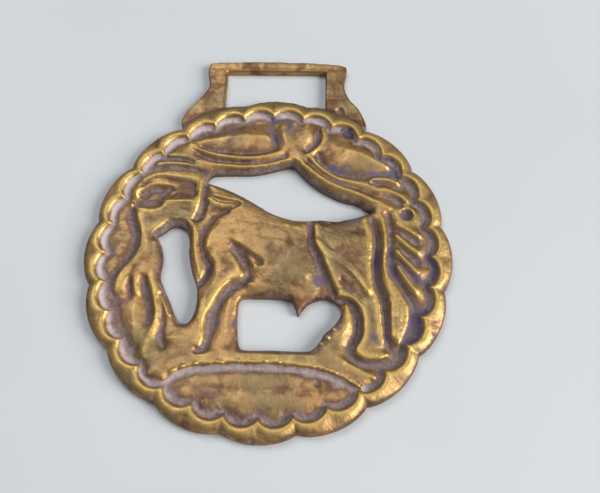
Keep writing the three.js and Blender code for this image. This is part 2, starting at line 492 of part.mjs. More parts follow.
// The block under the height field: surface, sides and a flat bottom below the back face.
function reliefBlock(z) {
    const bottom = -1;
    const top = adaptiveTriangles(z);
    const positions = [];
    const numbers = new Map();
    const vertex = (index) => {
        if (!numbers.has(index)) {
            numbers.set(index, positions.length / 3);
            positions.push(columnX(index % SIDE), rowY(Math.floor(index / SIDE)), z[index]);
        }
        return numbers.get(index);
    };
    const indices = top.map(vertex);
    const n = FIELD_CELLS;
    const onEdge = [...numbers.keys()];
    const rows = [
        onEdge.filter((v) => v < SIDE).sort((a, b) => a - b),
        onEdge.filter((v) => v % SIDE === n).sort((a, b) => a - b),
        onEdge.filter((v) => v >= n * SIDE).sort((a, b) => b - a),
        onEdge.filter((v) => v % SIDE === 0).sort((a, b) => b - a),
    ];
    const loop = rows.flatMap((row) => row.slice(0, -1));
    const low = loop.map((index) => {
        positions.push(columnX(index % SIDE), rowY(Math.floor(index / SIDE)), bottom);
        return positions.length / 3 - 1;
    });
    positions.push(0, FIELD_CENTRE_Y, bottom);
    const middle = positions.length / 3 - 1;
    loop.forEach((index, k) => {
        const next = (k + 1) % loop.length;
        indices.push(low[k], low[next], vertex(loop[next]));
        indices.push(low[k], vertex(loop[next]), vertex(index));
        indices.push(low[next], low[k], middle);
    });
    return toManifold(positions, indices);
}

function toManifold(positions, indices) {
    return new wasm.Manifold(new wasm.Mesh({
        numProp: 3,
        vertProperties: Float32Array.from(positions),
        triVerts: Uint32Array.from(indices),
    }));
}

// A straight prism over a flat outline, from the back face to well above the relief.
function prism(points, bottom = 0) {
    const shape = new THREE.Shape(points.map(([x, y]) => new THREE.Vector2(x, y)));
    const height = RIM_HEIGHT * 3;
    const extruded = new THREE.ExtrudeGeometry(shape, { depth: height, bevelEnabled: false, steps: 1 });
    extruded.translate(0, 0, bottom);
    extruded.deleteAttribute("normal");
    extruded.deleteAttribute("uv");
    const merged = BufferGeometryUtils.mergeVertices(extruded, 1e-4);
    return toManifold(merged.attributes.position.array, merged.index.array);
}

// The lobed outline: the same number of straight runs on each lobe, a point on every notch.
function lobedOutline() {
    const runs = 8;
    return Array.from({ length: LOBES * runs }, (_, k) => {
        const angle = ((k / runs + 0.5) / LOBES) * 2 * Math.PI;
        const r = k % runs ? lobeRadius(Math.cos(angle), Math.sin(angle)) : LOBE_NOTCH;
        return [r * Math.cos(angle), r * Math.sin(angle)];
    });
}

function outlineOf(points) {
    const line = smooth(points, true);
    return line.filter((_, k) => k % 2 === 0 && k < line.length - 1).map(({ x, y }) => [x, y]);
}

function horseBrassSolid() {
    const { fixed, height } = fixedHeights();
    const surface = wearDown(sinkPits(relax(fixed, height)));
    let plate = prism(lobedOutline()).add(prism(outlineOf(HANGER)));
    plate = plate.subtract(prism(SLOT, -1));
    for (const points of Object.values(OPENINGS)) plate = plate.subtract(prism(outlineOf(points), -1));
    return plate.intersect(reliefBlock(surface));
}

function geometryOf(solid) {
    const mesh = solid.getMesh();
    const geometry = new THREE.BufferGeometry();
    const positions = new Float32Array(mesh.numVert * 3);
    for (let v = 0; v < mesh.numVert; v++) {
        for (let k = 0; k < 3; k++) positions[3 * v + k] = mesh.vertProperties[v * mesh.numProp + k];
    }
    geometry.setAttribute("position", new THREE.BufferAttribute(positions, 3));
    geometry.setIndex(Array.from(mesh.triVerts));
    return geometry;
}

const agedBrass = new THREE.MeshStandardMaterial({ color: 0x9a7a42, roughness: 0.38, metalness: 1 });
const geometry = geometryOf(horseBrassSolid());
geometry.computeBoundingBox();
const middle = geometry.boundingBox.getCenter(new THREE.Vector3());
const brass = new THREE.Mesh(geometry, agedBrass);
brass.name = "horse_brass";
brass.position.set(-middle.x, -middle.y, 0); // the origin is the middle of the whole length, on the back

const model = new THREE.Group();
model.name = "horse_brass_model";
model.add(brass);

export default model;
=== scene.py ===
"""A cast horse brass lying on a pale surface: a lobed disc with a scalloped rim, a bull in openwork relief
inside a wreath, and a slotted hanger. The relief is a height field: named form lines carry heights in
millimetres, a relaxed membrane spans them, and the casting's skin is that surface cut to its outline."""

import math

import bpy
import numpy as np
from mathutils import Matrix, Vector
from mathutils.geometry import delaunay_2d_cdt


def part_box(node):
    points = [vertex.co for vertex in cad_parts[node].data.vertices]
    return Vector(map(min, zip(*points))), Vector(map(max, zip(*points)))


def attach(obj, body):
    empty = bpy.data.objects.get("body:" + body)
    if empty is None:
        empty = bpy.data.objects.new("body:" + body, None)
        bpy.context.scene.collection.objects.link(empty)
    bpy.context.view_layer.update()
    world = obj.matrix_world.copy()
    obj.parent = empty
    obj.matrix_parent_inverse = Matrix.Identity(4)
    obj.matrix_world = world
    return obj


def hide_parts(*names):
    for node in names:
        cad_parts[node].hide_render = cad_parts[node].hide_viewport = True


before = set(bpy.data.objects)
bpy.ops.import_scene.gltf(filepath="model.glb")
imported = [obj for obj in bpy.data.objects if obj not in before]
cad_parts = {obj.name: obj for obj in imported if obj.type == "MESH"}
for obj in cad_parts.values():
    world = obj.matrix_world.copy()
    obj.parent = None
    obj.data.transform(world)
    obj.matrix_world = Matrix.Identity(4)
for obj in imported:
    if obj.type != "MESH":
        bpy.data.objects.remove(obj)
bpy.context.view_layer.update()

MM = 0.001
NODE = "horse_brass"

# Driving dimensions, in millimetres from the middle of the disc. They are the solid's too, apart from
# RIM_WALL: here the wall's foot follows the scallops, where the solid's is a circle.
LOBES = 16
LOBE_NOTCH = 36.1  # radius of the outline between two lobes
LOBE_RISE = 1.35  # how far a lobe stands out past the notches
SCALLOPS = 32
SCALLOP_CUSP = 33.1  # radius of the rim's inner edge where two scallops meet
SCALLOP_RISE = 1.9
RIM_WALL = 1.1  # width of the scalloped wall
RIM_HEIGHT = 2.9
RIM_CREST = 0.6  # width of the flat top of the rim
RIM_FALL = 0.8  # how much lower the rim's outer edge lies
FIELD_HEIGHT = 1.5
HANGER_HEIGHT = 1.9
HANGER_FOOT = 24.0  # the hanger's plate starts above this y
HANGER_FIRST_NOTCH = 5.5  # the left foot of the hanger, counted in lobes from the x axis
HANGER_LOBES = 3  # how many lobes the hanger covers

# The relief's surface
SWELL = 0.1  # how much the membrane bulges between the form lines
RELAX_SWEEPS = 80
WEAR = 0.2  # radius of the softening left by wear
CRISPNESS = 0.7  # how much the relief is deepened over its own local mean
CRISP_REACH = 1.0  # radius of that local mean
CRISP_FADE = 3.0  # over this width the deepening fades out towards the rim's edge
UNEVENNESS = 0.05  # of the cast surface
UNEVEN_SPREADS = (0.4, 1.2, 3.0)  # radii of the casting's bumps
BEAD_RADIUS = 0.45  # of the bead-like roughness along the panel's edge
BEAD_SCATTER = 0.12
BEAD_HEIGHT = 0.3
THINNEST = 0.6  # metal left under the deepest pit
TOP_CLEARANCE = 0.02  # left under the top of the solid's box
GROUND_TOP = 2.25  # the ground between the forms lies under this height
GROUND_FADE = 0.6
HOLLOW_REACH = 1.1  # radius of the mean that a hollow is measured against
DULL_SHARE = 0.9  # of the ground's grime in the dull patches

# The skin's mesh
STEP = 0.25  # spacing of the height field and of the skin's vertices
SMOOTHING = 6  # steps between two points of a curved line
MARGIN = 2.0  # of the height field round the outline
EDGE_RADIUS = 0.45  # of the rounded upper edges
WALL_FOOT = 0.3  # height at which the wall turns in towards the back
BACK_INSET = 0.1  # how far the back's edge lies inside the outline
BACK_STEP = 1.0

LOW, HIGH = (Vector(corner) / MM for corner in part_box(NODE))
MIDDLE_X = (LOW.x + HIGH.x) / 2
MIDDLE_Y = LOW.y + LOBE_NOTCH + LOBE_RISE

# Form lines: points of x, y and the height z there. A closed opening's line is also its outline.
OPENINGS = {
    "above_back": [(-13.6, 16.9, 2.4), (-12.6, 18.8, 2.1), (-9, 19.2, 2.1), (-4, 19.3, 2.1),
        (-1, 19.9, 2.2), (2.5, 20.9, 2.2), (4.4, 21.4, 2.3), (5.6, 20.2, 2.2), (7.5, 18.2, 2.2),
        (10, 16, 2.2), (13, 14.2, 2.2), (16, 12.9, 2.2), (18.5, 12.4, 2.2), (20, 11.2, 2.2),
        (21.6, 10.4, 2.2), (19, 9, 2.6), (16, 8.2, 2.7), (14, 7.7, 2.8), (11, 8, 2.7), (7, 7.8, 2.6),
        (4, 8.2, 2.6), (1, 9.2, 2.6), (-2, 11, 2.7), (-5, 12.8, 2.8), (-9, 14.8, 2.8), (-12.4, 16, 2.8)],
    "under_neck": [(-20.2, 6.5, 1.7), (-22, 5, 1.7), (-23, 4.2, 2), (-21.9, 2, 2.3), (-21.3, -1, 2.4),
        (-21.5, -4.5, 2.4), (-20.5, -7, 2.3), (-19, -10, 2.2), (-17.6, -13, 2.2), (-16.4, -14.6, 2.2),
        (-14.6, -14.3, 2.3), (-13.5, -11.5, 2.5), (-13.6, -7.5, 2.5), (-14.9, -4, 2.3), (-15.9, 0, 2.2),
        (-16.1, 3, 2.2), (-17, 5.5, 1.9), (-18.4, 6.6, 1.7)],
    "under_belly": [(-4.7, -9.2, 2.3), (-1, -8.9, 2.4), (3, -9, 2.4), (5.2, -9.3, 2.4), (6.1, -11, 2.2),
        (6.7, -12.4, 2), (7.6, -11.1, 2.1), (9.2, -9.6, 2.1), (12.4, -8.8, 2.1), (14.6, -10.2, 2.3),
        (15.1, -12.3, 2.4), (13.8, -14.6, 2.3), (12, -16.2, 2.2), (10.9, -18.1, 2.2), (9.6, -19.6, 2.3),
        (7.4, -19.9, 2.4), (2, -19.8, 2.4), (-2.7, -19.9, 2.4), (-4.4, -19.3, 2.4), (-5.1, -16, 2.3),
        (-5.3, -12, 2.3)],
}

SLOT = [(-11.2, 46), (-11.2, 36.1), (-8.7, 36.5), (-5.9, 36.55), (-3.5, 37.5), (0.5, 37.9), (4.6, 37.4),
    (7.4, 36.4), (9.3, 36.5), (11.3, 36), (11.2, 46)]

HANGER = [(-20.4, 31.2), (-20.5, 32.8), (-19.5, 35.2), (-17.2, 38.2), (-15.5, 40.9), (-15.1, 42.6),
    (-15.6, 45.4), (-15.5, 47.3), (-14.2, 48.4), (-5, 48.7), (5, 48.6), (12.6, 48.2), (15.6, 47.6),
    (16, 46.3), (15.6, 43.9), (15.5, 41.6), (16.7, 38.6), (18.6, 36.2), (19.8, 33.6), (20.3, 31.2),
    (19, 28.6), (14, 27), (-14, 27), (-19, 28.6)]

# Crests and valleys
HEAD = {
    "poll": [(-14.6, 17, 3.3), (-17.5, 17.3, 3.3), (-20.5, 17.6, 3.2), (-23.5, 18, 3.1), (-26, 17, 2.9),
        (-27.8, 15.8, 2.5)],
    "under_horn": [(-27, 15.3, 2.2), (-25.5, 16.4, 2.6), (-24, 17, 2.8), (-21, 16.6, 2.7),
        (-18, 15.8, 2.8), (-16.3, 15.3, 2.9)],
    "forehead": [(-21.2, 14, 2.9), (-18, 13.8, 2.9), (-15.4, 13.3, 3.1)],
    "brow": [(-21.4, 11.2, 3.4), (-19.5, 11.3, 3.5), (-17.5, 11.4, 3.6), (-15.8, 11.5, 3.6)],
    "cheek": [(-22, 9.6, 3.2), (-20, 9.3, 3.2), (-17.5, 9.2, 3.1), (-16, 9, 3.1)],
    "jaw": [(-15.4, 8.4, 2.9), (-17.6, 7.8, 2.8), (-20.4, 7.9, 2.8), (-22.2, 6.4, 2.8), (-23.8, 5, 2.8)],
    "nose": [(-27.2, 9.9, 2.9), (-24.5, 9.5, 3.1), (-22.4, 9.8, 3.3), (-21.7, 11, 3.3)],
    "muzzle": [(-26, 8.5, 2.9), (-25.2, 6.5, 2.9), (-24.6, 5, 2.8)],
    "nape": [(-14.4, 16.6, 3.4), (-14.5, 14, 3.5), (-14.6, 12, 3.5), (-15.1, 9.8, 3.3), (-16, 8.6, 3)],
    "behind_nape": [(-13.4, 16, 2.4), (-13.5, 13, 2.3), (-13.6, 11, 2.3), (-14.1, 9.2, 2.2),
        (-15.2, 7.7, 2.1)],
}

SHOULDER = {
    "neck": [(-12.7, 15, 3.3), (-8, 13, 3.4), (-4, 11, 3.4), (0, 9, 3.3), (4, 7.4, 3.3)],
    "neck_muscle": [(-12.8, 12.4, 3.5), (-10, 12, 3.6), (-7.3, 10.8, 3.7)],
    "under_muscle": [(-12.9, 10.4, 2.9), (-10.5, 9.6, 3), (-8.6, 9, 3.3)],
    "shoulder": [(-7.2, 9.8, 3.7), (-8, 8, 3.7), (-10.2, 5.4, 3.7), (-11.8, 3.4, 3.6), (-12.3, 1, 3.4)],
    "chest": [(-12.6, 8.6, 2.7), (-11.6, 7.2, 2.8), (-13, 5.2, 2.6), (-13.4, 3, 2.5), (-13, 0.5, 2.6),
        (-12, -1.8, 2.4), (-11.4, -3.6, 2.2), (-12.2, -5.6, 2.3), (-13.1, -6.8, 2.4)],
    "dewlap": [(-15.8, 7, 2.8), (-15, 5, 3), (-14.7, 2, 3), (-14.2, -1, 2.9), (-13.4, -3.5, 2.8),
        (-13, -5, 2.6)],
    "elbow_rear": [(-8.4, 0, 3.5), (-7.7, 1.9, 3.7), (-6.4, 2.3, 3.8), (-4.6, 1.2, 3.75),
        (-2.7, -0.5, 3.7), (-1, -2.4, 3.5)],
    "elbow": [(-7, 1.2, 3.2), (-5.6, -0.5, 2.9), (-4.2, -2.6, 2.7), (-3.3, -4.2, 2.6)],
    "elbow_front": [(-7.9, 0.5, 3.5), (-6.8, -1.2, 3.6), (-5.4, -3.2, 3.6), (-4.6, -4.6, 3.5)],
}

BARREL = {
    "back": [(-6, 7.2, 3.75), (-3, 7, 3.8), (2, 6.2, 3.8), (6.5, 5.6, 3.7)],
    "ribs": [(-7, 4.6, 3.8), (-3, 4, 3.95), (3, 3, 3.95), (6.6, 2, 3.8)],
    "flank": [(-1.2, -3.1, 3.7), (2, -3.1, 3.85), (5, -3.7, 3.8), (8, -4.8, 3.4)],
    "belly": [(-3.5, -6.5, 3), (0, -6.6, 3.1), (4, -6.8, 3.1), (7.5, -7, 2.8)],
    "groin": [(9.6, -4.2, 3), (10.4, -6, 2.5), (11.4, -7.8, 2.1)],
}

HAUNCH = {
    "front": [(9.8, 6.6, 3.5), (9.9, 4, 3.6), (10.6, 1.5, 3.8), (11.9, -1.2, 3.8), (13.1, -4, 3.6),
        (14.4, -7, 3.3)],
    "crease": [(8.7, 7.6, 2.6), (8.7, 5, 2.7), (9.2, 2, 2.8), (10.3, -1, 2.6), (11.4, -4, 2.4),
        (12.8, -7, 2.3), (13.8, -8.8, 2.2)],
    "barrel_end": [(7.6, 6.4, 3.3), (7.7, 4, 3.4), (8, 1, 3.4), (9, -1.8, 3.2), (9.8, -3.6, 3)],
    "stifle": [(12.4, 1, 3.85), (14.2, -0.7, 3.95), (16.6, -2.8, 3.9), (18.6, -5, 3.8),
        (20.2, -7.6, 3.6)],
    "rump": [(11.5, 5.6, 3.5), (15, 5, 3.6), (19.2, 5.4, 3.4)],
    "thigh": [(15, -5.5, 3.2), (17, -8, 3.1), (19, -9.8, 3)],
    "rear": [(20, 8.2, 3.1), (20.8, 5.5, 3.4), (21.1, 3, 3.5), (20.9, 0, 3.5), (20.7, -4, 3.5),
        (21.2, -7, 3.4), (22.2, -9.5, 3.2), (22.6, -12, 3.1), (22.9, -15, 3), (23.2, -18, 2.9)],
}

LEGS = {
    "foreleg": [(-11.7, -1, 3.3), (-10.2, -3, 3.3), (-9.6, -5, 3.4), (-11, -8, 3.2), (-12.3, -11, 3.1),
        (-12.8, -14, 3)],
    "hoof": [(-18.4, -18, 2.9), (-15.5, -17.8, 3.1), (-12.9, -18, 3)],
    "hoof_front": [(-19.6, -14.9, 2.2), (-20, -17, 2.1), (-19, -19.6, 2)],
    "far_foreleg": [(-6.8, -9.6, 2.5), (-7.2, -13, 2.6), (-7, -17, 2.6), (-6.4, -19.5, 2.6)],
    "between_forelegs": [(-5.6, -7.6, 2.2), (-8.4, -10, 1.9), (-9.6, -13, 1.9), (-9.8, -16, 1.9),
        (-10.8, -19, 2.1)],
    "hind_leg": [(20.6, -10, 3.2), (21.4, -13, 3.1), (21.4, -16, 3), (20.8, -19, 3)],
    "far_hind_leg": [(16, -10.2, 2.8), (16.6, -13, 2.8), (15.8, -15.6, 2.8), (13.6, -17.6, 2.7),
        (12.4, -19.6, 2.7)],
}

TAIL = {
    "before_tail": [(21.2, 7.8, 1.9), (22.3, 5.5, 1.7), (22.6, 3, 1.6), (22.3, 0, 1.6), (22, -4, 1.6),
        (22.5, -7, 1.6), (23.5, -9.4, 1.6), (23.8, -13, 1.6), (23.9, -17, 1.6), (24.7, -19.8, 1.7)],
    "tail": [(23.2, 9.4, 2.8), (23.8, 6, 3), (23.9, 2, 3), (23.6, -2, 3), (24.2, -5, 3), (25.4, -8, 3),
        (26.4, -11, 3), (26.2, -14, 2.9), (25.7, -17, 2.7)],
    "tuft_left": [(23.6, -5, 2.8), (24.6, -8.5, 2.8), (24.9, -13, 2.7), (24.8, -17, 2.6)],
    "tuft_right": [(25, -5.2, 2.8), (26.9, -8.5, 2.8), (28, -11.4, 2.7), (27.4, -15, 2.6),
        (26.2, -18, 2.5)],
    "behind_tail": [(24.6, 9.5, 2), (25, 7, 1.8), (25.2, 4, 1.7), (25, 1, 1.6), (25.2, -2, 1.6),
        (26.3, -5, 1.6), (27.9, -7.8, 1.6), (29.2, -10.2, 1.6), (29, -13, 1.6), (28.4, -16, 1.6),
        (27, -18.6, 1.6), (25.4, -20.7, 1.7), (22.5, -22.4, 1.7), (19, -22.4, 1.7), (17, -20.8, 1.7),
        (16.6, -18.8, 1.8), (18.2, -16.5, 1.7), (18.4, -13, 1.7), (17.4, -10.6, 1.9)],
}

WREATH_LEFT = {
    "leaf_top": [(-17.8, 26.6, 2.2), (-14, 28.4, 2.1), (-9, 30.4, 2.1), (-4, 31.4, 2.1),
        (-0.3, 31.2, 2.2)],
    "leaf": [(-16.6, 26.4, 2.6), (-13, 26.8, 3), (-8, 27.6, 3.2), (-3, 27.8, 3.2), (-0.9, 27.6, 3.1)],
    "leaf_foot": [(-15.4, 25, 2.4), (-12, 24.1, 2.5), (-8, 23.7, 2.5), (-3, 23.8, 2.5), (0.2, 24.6, 2.5)],
    "leaf_end": [(0.3, 31.2, 2.3), (0.1, 29, 2.3), (0.4, 27, 2.3), (0.9, 24.8, 2.4)],
    "upper_stem": [(-17.8, 26, 2.7), (-15, 24.1, 3), (-11, 22.9, 3.1), (-6, 22.3, 3.1), (-1, 22.8, 3.1),
        (2.5, 24.1, 3.2)],
    "between_stems": [(-16.2, 23.8, 2.3), (-13, 22.1, 2.4), (-9, 21.4, 2.4), (-4, 21.2, 2.4),
        (0, 21.9, 2.5), (3, 22.9, 2.6)],
    "lower_stem": [(-15.5, 22, 2.6), (-12, 20.9, 2.8), (-8, 20.4, 2.9), (-4, 20.4, 2.9), (0, 21, 2.9),
        (4, 22.2, 3)],
    "upper_vein": [(-24.4, 22.6, 2.2), (-21.5, 23.2, 2.5), (-18.5, 22.8, 2.6), (-16.4, 22.4, 2.5)],
    "lower_vein": [(-24.6, 21, 2.2), (-21, 21.5, 2.4), (-17.5, 21, 2.5), (-14.8, 19.9, 2.4)],
    "between_veins": [(-24.8, 21.8, 2), (-21, 22.3, 2), (-17, 21.7, 2.1)],
}

KNOT = {
    "left_lobe": [(2.2, 30.6, 3), (2.6, 28, 3.4), (3.4, 25.8, 3.4), (4.4, 24, 3.2)],
    "right_lobe": [(7.4, 31, 3), (7.7, 28.6, 3.4), (7.2, 26.4, 3.4), (6.2, 24.4, 3.2)],
    "between_lobes": [(4.9, 31.4, 2.9), (5.1, 29, 3.2), (5.1, 26.6, 3.3)],
    "edge": [(10, 30.6, 2.3), (9.8, 28, 2.4), (9, 25.8, 2.5), (7.6, 24.3, 2.6)],
    "bract": [(10.9, 30.2, 2.8), (11.3, 28.2, 3.2), (10.9, 26.2, 3.2), (9.5, 24.4, 3.2),
        (7.8, 23.2, 3.2)],
}

WREATH_RIGHT = {
    "lower_stem": [(5.4, 22.4, 3.1), (8, 20.1, 3.1), (10.8, 17.8, 3.1), (13.8, 16, 3.1), (17, 14.8, 3),
        (20, 13.4, 3), (23, 12, 2.9), (25, 10.8, 2.8)],
    "between_stems": [(7.6, 21.8, 2.7), (9.8, 19.5, 2.6), (12.4, 17.6, 2.6), (15.5, 16.1, 2.6),
        (19, 15, 2.6), (22.5, 13.6, 2.5)],
    "upper_stem": [(8.6, 22.5, 3.1), (10.3, 20.6, 3), (12.7, 18.5, 3), (15.7, 17.2, 2.9),
        (19, 16.6, 2.9), (22, 15.9, 2.9)],
    "under_leaf": [(9.9, 23.6, 2.2), (11, 21.4, 2.1), (13, 19.9, 2), (16, 19, 2), (19.5, 18.6, 2),
        (22.5, 18.9, 2.1), (25.5, 19, 2)],
    "leaf_top": [(11.6, 29.4, 2.2), (14, 29.4, 2), (17.8, 28.8, 2), (20.6, 27.4, 2), (23, 25, 1.9),
        (25, 22.4, 1.9), (26.4, 20.4, 1.9)],
    "leaf": [(12, 25, 2.9), (14.5, 24.9, 3.2), (18, 24, 3.3), (21.5, 22.6, 3.1), (24.6, 20.9, 2.6)],
    "small_leaf": [(21, 17.6, 2.7), (24, 17.7, 2.8), (26.8, 16.9, 2.6)],
    "small_leaf_foot": [(21.4, 16.6, 2.3), (24.4, 16.6, 2.3), (27, 15.4, 2.1)],
    "vein": [(22, 15.1, 2.9), (24.4, 15.1, 3), (27, 14, 2.8), (28.8, 12.6, 2.5)],
    "under_vein": [(23.6, 13.6, 2.4), (26, 12.9, 2.2), (27.6, 12, 2)],
}

SPRAY = {
    "leaflet_1": [(26.3, 7.4, 2.7), (28.5, 6, 2.8), (30.8, 4.6, 2.6)],
    "gap_1": [(26.3, 6, 2.2), (28.6, 4.4, 2.1), (30.6, 3, 1.9)],
    "leaflet_2": [(26.2, 4.8, 2.7), (28.4, 2.6, 2.8), (30.6, 0.8, 2.6)],
    "gap_2": [(26, 3, 2.2), (28.2, 0.6, 2.1), (30.4, -1.2, 1.8)],
    "leaflet_3": [(26, 1.6, 2.7), (28, -1, 2.8), (30.2, -3.4, 2.6)],
    "gap_3": [(26.2, -0.4, 2.1), (28, -3, 2), (29.8, -5.2, 1.8)],
    "leaflet_4": [(26.4, -2, 2.6), (28, -4.8, 2.7), (29.8, -7.6, 2.5)],
}

PLANT = {
    "stalk": [(-24.9, 4, 2.8), (-24.6, 1, 3), (-24.6, -2, 3.1), (-24.6, -4.4, 3.1)],
    "right_stalk": [(-22.9, 2.6, 2.8), (-22.3, -1, 2.9), (-22.6, -4, 2.9), (-21.6, -7.4, 2.9),
        (-20, -10.6, 2.8), (-18.6, -13.3, 2.7)],
    "left_lobe": [(-26.2, -2.6, 3), (-28, -5, 2.9), (-28.9, -7.6, 2.6)],
    "middle_lobe": [(-25.6, -4, 3.1), (-26, -6.4, 2.9), (-25.6, -8.8, 2.6)],
    "between_lobes": [(-27.2, -5.8, 2.5), (-27.1, -7.6, 2), (-26.7, -9.4, 1.9)],
    "cleft": [(-24.5, -5.6, 2.3), (-23.6, -8, 1.8), (-22.6, -11, 1.7), (-22.1, -13, 1.6),
        (-22.6, -15, 1.9)],
    "blade": [(-23.3, -5.4, 2.9), (-22.2, -8.6, 2.9), (-21.2, -12, 2.9), (-21.2, -15, 2.9),
        (-21.8, -18, 2.9), (-22.6, -20.4, 2.8), (-22.4, -22.4, 2.5)],
    "blade_foot": [(-20.8, -9, 2.5), (-19.9, -12, 2.4), (-19.8, -14.2, 2.2)],
    "bud": [(-25.6, -10.6, 2.4), (-25.7, -13, 2.5), (-25.2, -16, 2.4), (-24.8, -18.6, 2.3)],
    "bud_foot": [(-29.4, -9.6, 1.8), (-28.6, -13.4, 1.7), (-27, -17.4, 1.7), (-24.8, -20.4, 1.8)],
}

GROUND = {
    "turf": [(-21.8, -25.2, 2.3), (-19.4, -23.7, 2.7), (-17, -22.2, 2.6), (-12.5, -21, 2.8),
        (-5, -20.9, 2.8), (2, -20.8, 2.8), (9, -20.9, 2.8), (14, -21.2, 2.8), (18, -23, 2.7),
        (21.6, -24.9, 2.4)],
    "panel": [(-15, -27, 1.95), (-8, -27.4, 2.15), (0, -27.6, 2.2), (8, -27.4, 2.15), (15, -27.4, 1.95)],
}

FORMS = [HEAD, SHOULDER, BARREL, HAUNCH, LEGS, TAIL, WREATH_LEFT,
    KNOT, WREATH_RIGHT, SPRAY, PLANT, GROUND]

# Steps: the form is on the left of the line at its own height, and its foot lies `width` to the right.
STEPS = {
    "foreleg_back": {
        "foot": 1.9,
        "width": 1.2,
        "line": [(-12.2, -19.3, 2.9), (-11.8, -17.5, 3), (-12, -15.5, 3), (-11.7, -13, 3.1),
            (-10.6, -11, 3.3), (-9.2, -8.2, 3.4), (-7.2, -6.1, 3.5), (-4.7, -5.2, 3.5)],
    },
    "head_top": {
        "foot": 2,
        "width": 0.6,
        "line": [(-13.9, 17.3, 3), (-15.5, 18.5, 3), (-19, 18.8, 3), (-23, 18.8, 2.9),
            (-26.4, 17.8, 2.7), (-28.4, 16, 2.3)],
    },
    "eye_hollow": {
        "foot": 2.7,
        "width": 1,
        "line": [(-27.8, 11.2, 1.6), (-25.5, 11, 1.7), (-23.6, 11.4, 1.7), (-23.2, 12.4, 1.7),
            (-22.2, 13.4, 1.8), (-20.6, 14.4, 2.1), (-22.8, 14.8, 1.8), (-25.2, 14.6, 1.7),
            (-27.2, 13.6, 1.6)],
    },
    "muzzle": {
        "foot": 1.6,
        "width": 0.8,
        "line": [(-27.6, 10.2, 2.7), (-27.3, 8.4, 2.7), (-26.6, 6.4, 2.7), (-26, 4.4, 2.7),
            (-25.9, 2, 2.7), (-26.4, 0, 2.7), (-27.4, -2, 2.7), (-28.9, -4, 2.7), (-29.8, -6, 2.6),
            (-29.8, -8.4, 2.4)],
    },
    "hind_leg": {
        "foot": 1.75,
        "width": 0.8,
        "line": [(14.6, -8.7, 3.1), (16.8, -9, 3.1), (18.4, -10.2, 3.1), (19.3, -12.3, 3),
            (19.7, -14.6, 3), (19.4, -17, 3), (18.4, -18.9, 2.9), (18.1, -20, 2.8), (19.5, -21, 2.8),
            (22, -21.2, 2.8), (24, -20.4, 2.8)],
    },
    "panel_top": {
        "foot": 1.75,
        "width": 0.9,
        "line": [(-18.7, -26, 2.4), (-16, -24, 2.6), (-12.5, -23, 2.7), (-7, -22.5, 2.7),
            (0, -22.3, 2.7), (8, -22.8, 2.7), (13, -23.8, 2.6), (17, -25.6, 2.5), (19.2, -27, 2.3)],
    },
}

# Strokes raised on the surface, or cut where the rise is negative: points, width, rise.
# The worn marks on the panel are plain strokes.
STROKES = {
    "top_bar_groove": ([(-14.6, 46.7), (-5, 46.9), (5, 46.9), (14.8, 46.6)], 0.6, -0.14),
    "leaf_vein_left": ([(-23.5, 23), (-19.5, 22.6), (-15.5, 21.5)], 0.7, 0.2),
    "leaf_vein_left_low": ([(-24.5, 21.3), (-20.5, 21.1), (-16.5, 20.4)], 0.6, 0.15),
    "beaded_groove": ([(10, 22), (12, 20), (15, 18.8), (19, 18.3), (21, 18)], 1.1, -0.3),
    "haunch_break": ([(9.8, 2.6), (12, 0.5), (14, -0.8), (16.5, -2.8), (18.5, -5), (20.3, -8)], 2.4, 0.28),
    "shoulder_pit": ([(-12.5, -0.5), (-11, -2.5), (-11.8, -5), (-13, -6.5)], 1.8, -0.45),
    "worn_mark_a": ([(-12.2, -29.4), (-12, -31.2)], 0.6, 0.12),
    "worn_mark_b": ([(-10.9, -30), (-10.5, -31.4), (-9.9, -30.2)], 0.6, 0.12),
    "worn_mark_c": ([(-9, -30.6), (-8.4, -31.7)], 0.6, 0.1),
    "worn_mark_d": ([(-7.6, -30.4), (-6.9, -31.9)], 0.6, 0.12),
    "worn_mark_e": ([(-6.1, -30.9), (-5.2, -31.2)], 0.6, 0.1),
    "temple_ridge": ([(-14.4, 17), (-14.3, 14.5), (-14.5, 12), (-15.2, 10)], 0.9, 0.15),
    "brow_ridge": ([(-21.8, 11.6), (-19, 11.4), (-16, 11.4)], 0.7, 0.2),
    "shoulder_fold": ([(-12.4, 12.6), (-9.4, 11.6), (-6.2, 10.9), (-8.6, 9.6), (-11.5, 7.4),
        (-13, 5)], 1.5, -0.3),
    "shoulder_edge": ([(-11.6, 12.9), (-8.6, 12.2), (-5.3, 11.2), (-7.6, 9)], 0.9, 0.15),
    "elbow_branch": ([(-7.4, 2.2), (-4.6, 0.5), (-1.2, -2.3)], 1.7, -0.3),
    "elbow_hollow": ([(-6.2, 0.8), (-4.8, -0.8), (-3.6, -2.4)], 2.6, -0.35),
}

# Round pits, or bumps where the depth is negative: x, y, radius, depth
PITS = {
    "by_spray": (16.3, 29.3, 1.5, 1.2),
    "by_plant": (28.5, 9.5, 1.5, 1),
    "hanger_foot_pit": (14.6, 35.2, 1.1, 0.25),
    "hanger_foot_pit_core": (14.5, 35.2, 1.2, 0.45),
    "burr_on_arch": (-3.4, 18.5, 0.6, -0.6),
    "belly_bump_1": (9.8, -19.2, 0.6, -0.5),
    "belly_bump_2": (11.2, -18.3, 0.6, -0.45),
    "belly_bump_3": (12.5, -17.1, 0.7, -0.5),
    "belly_bump_4": (13.6, -15.4, 0.6, -0.45),
    "belly_bump_5": (14.1, -13.6, 0.6, -0.4),
    "chip_left_of_foot": (-6, -36.8, 0.8, 0.7),
    "chip_at_foot": (-1.3, -37.3, 0.7, 0.8),
    "chip_right_of_foot": (6.3, -36.7, 0.9, 0.6),
    "chip_lower_left": (-30, -22.2, 0.8, 0.4),
    "panel_pit": (10.8, -26, 0.8, 0.3),
}

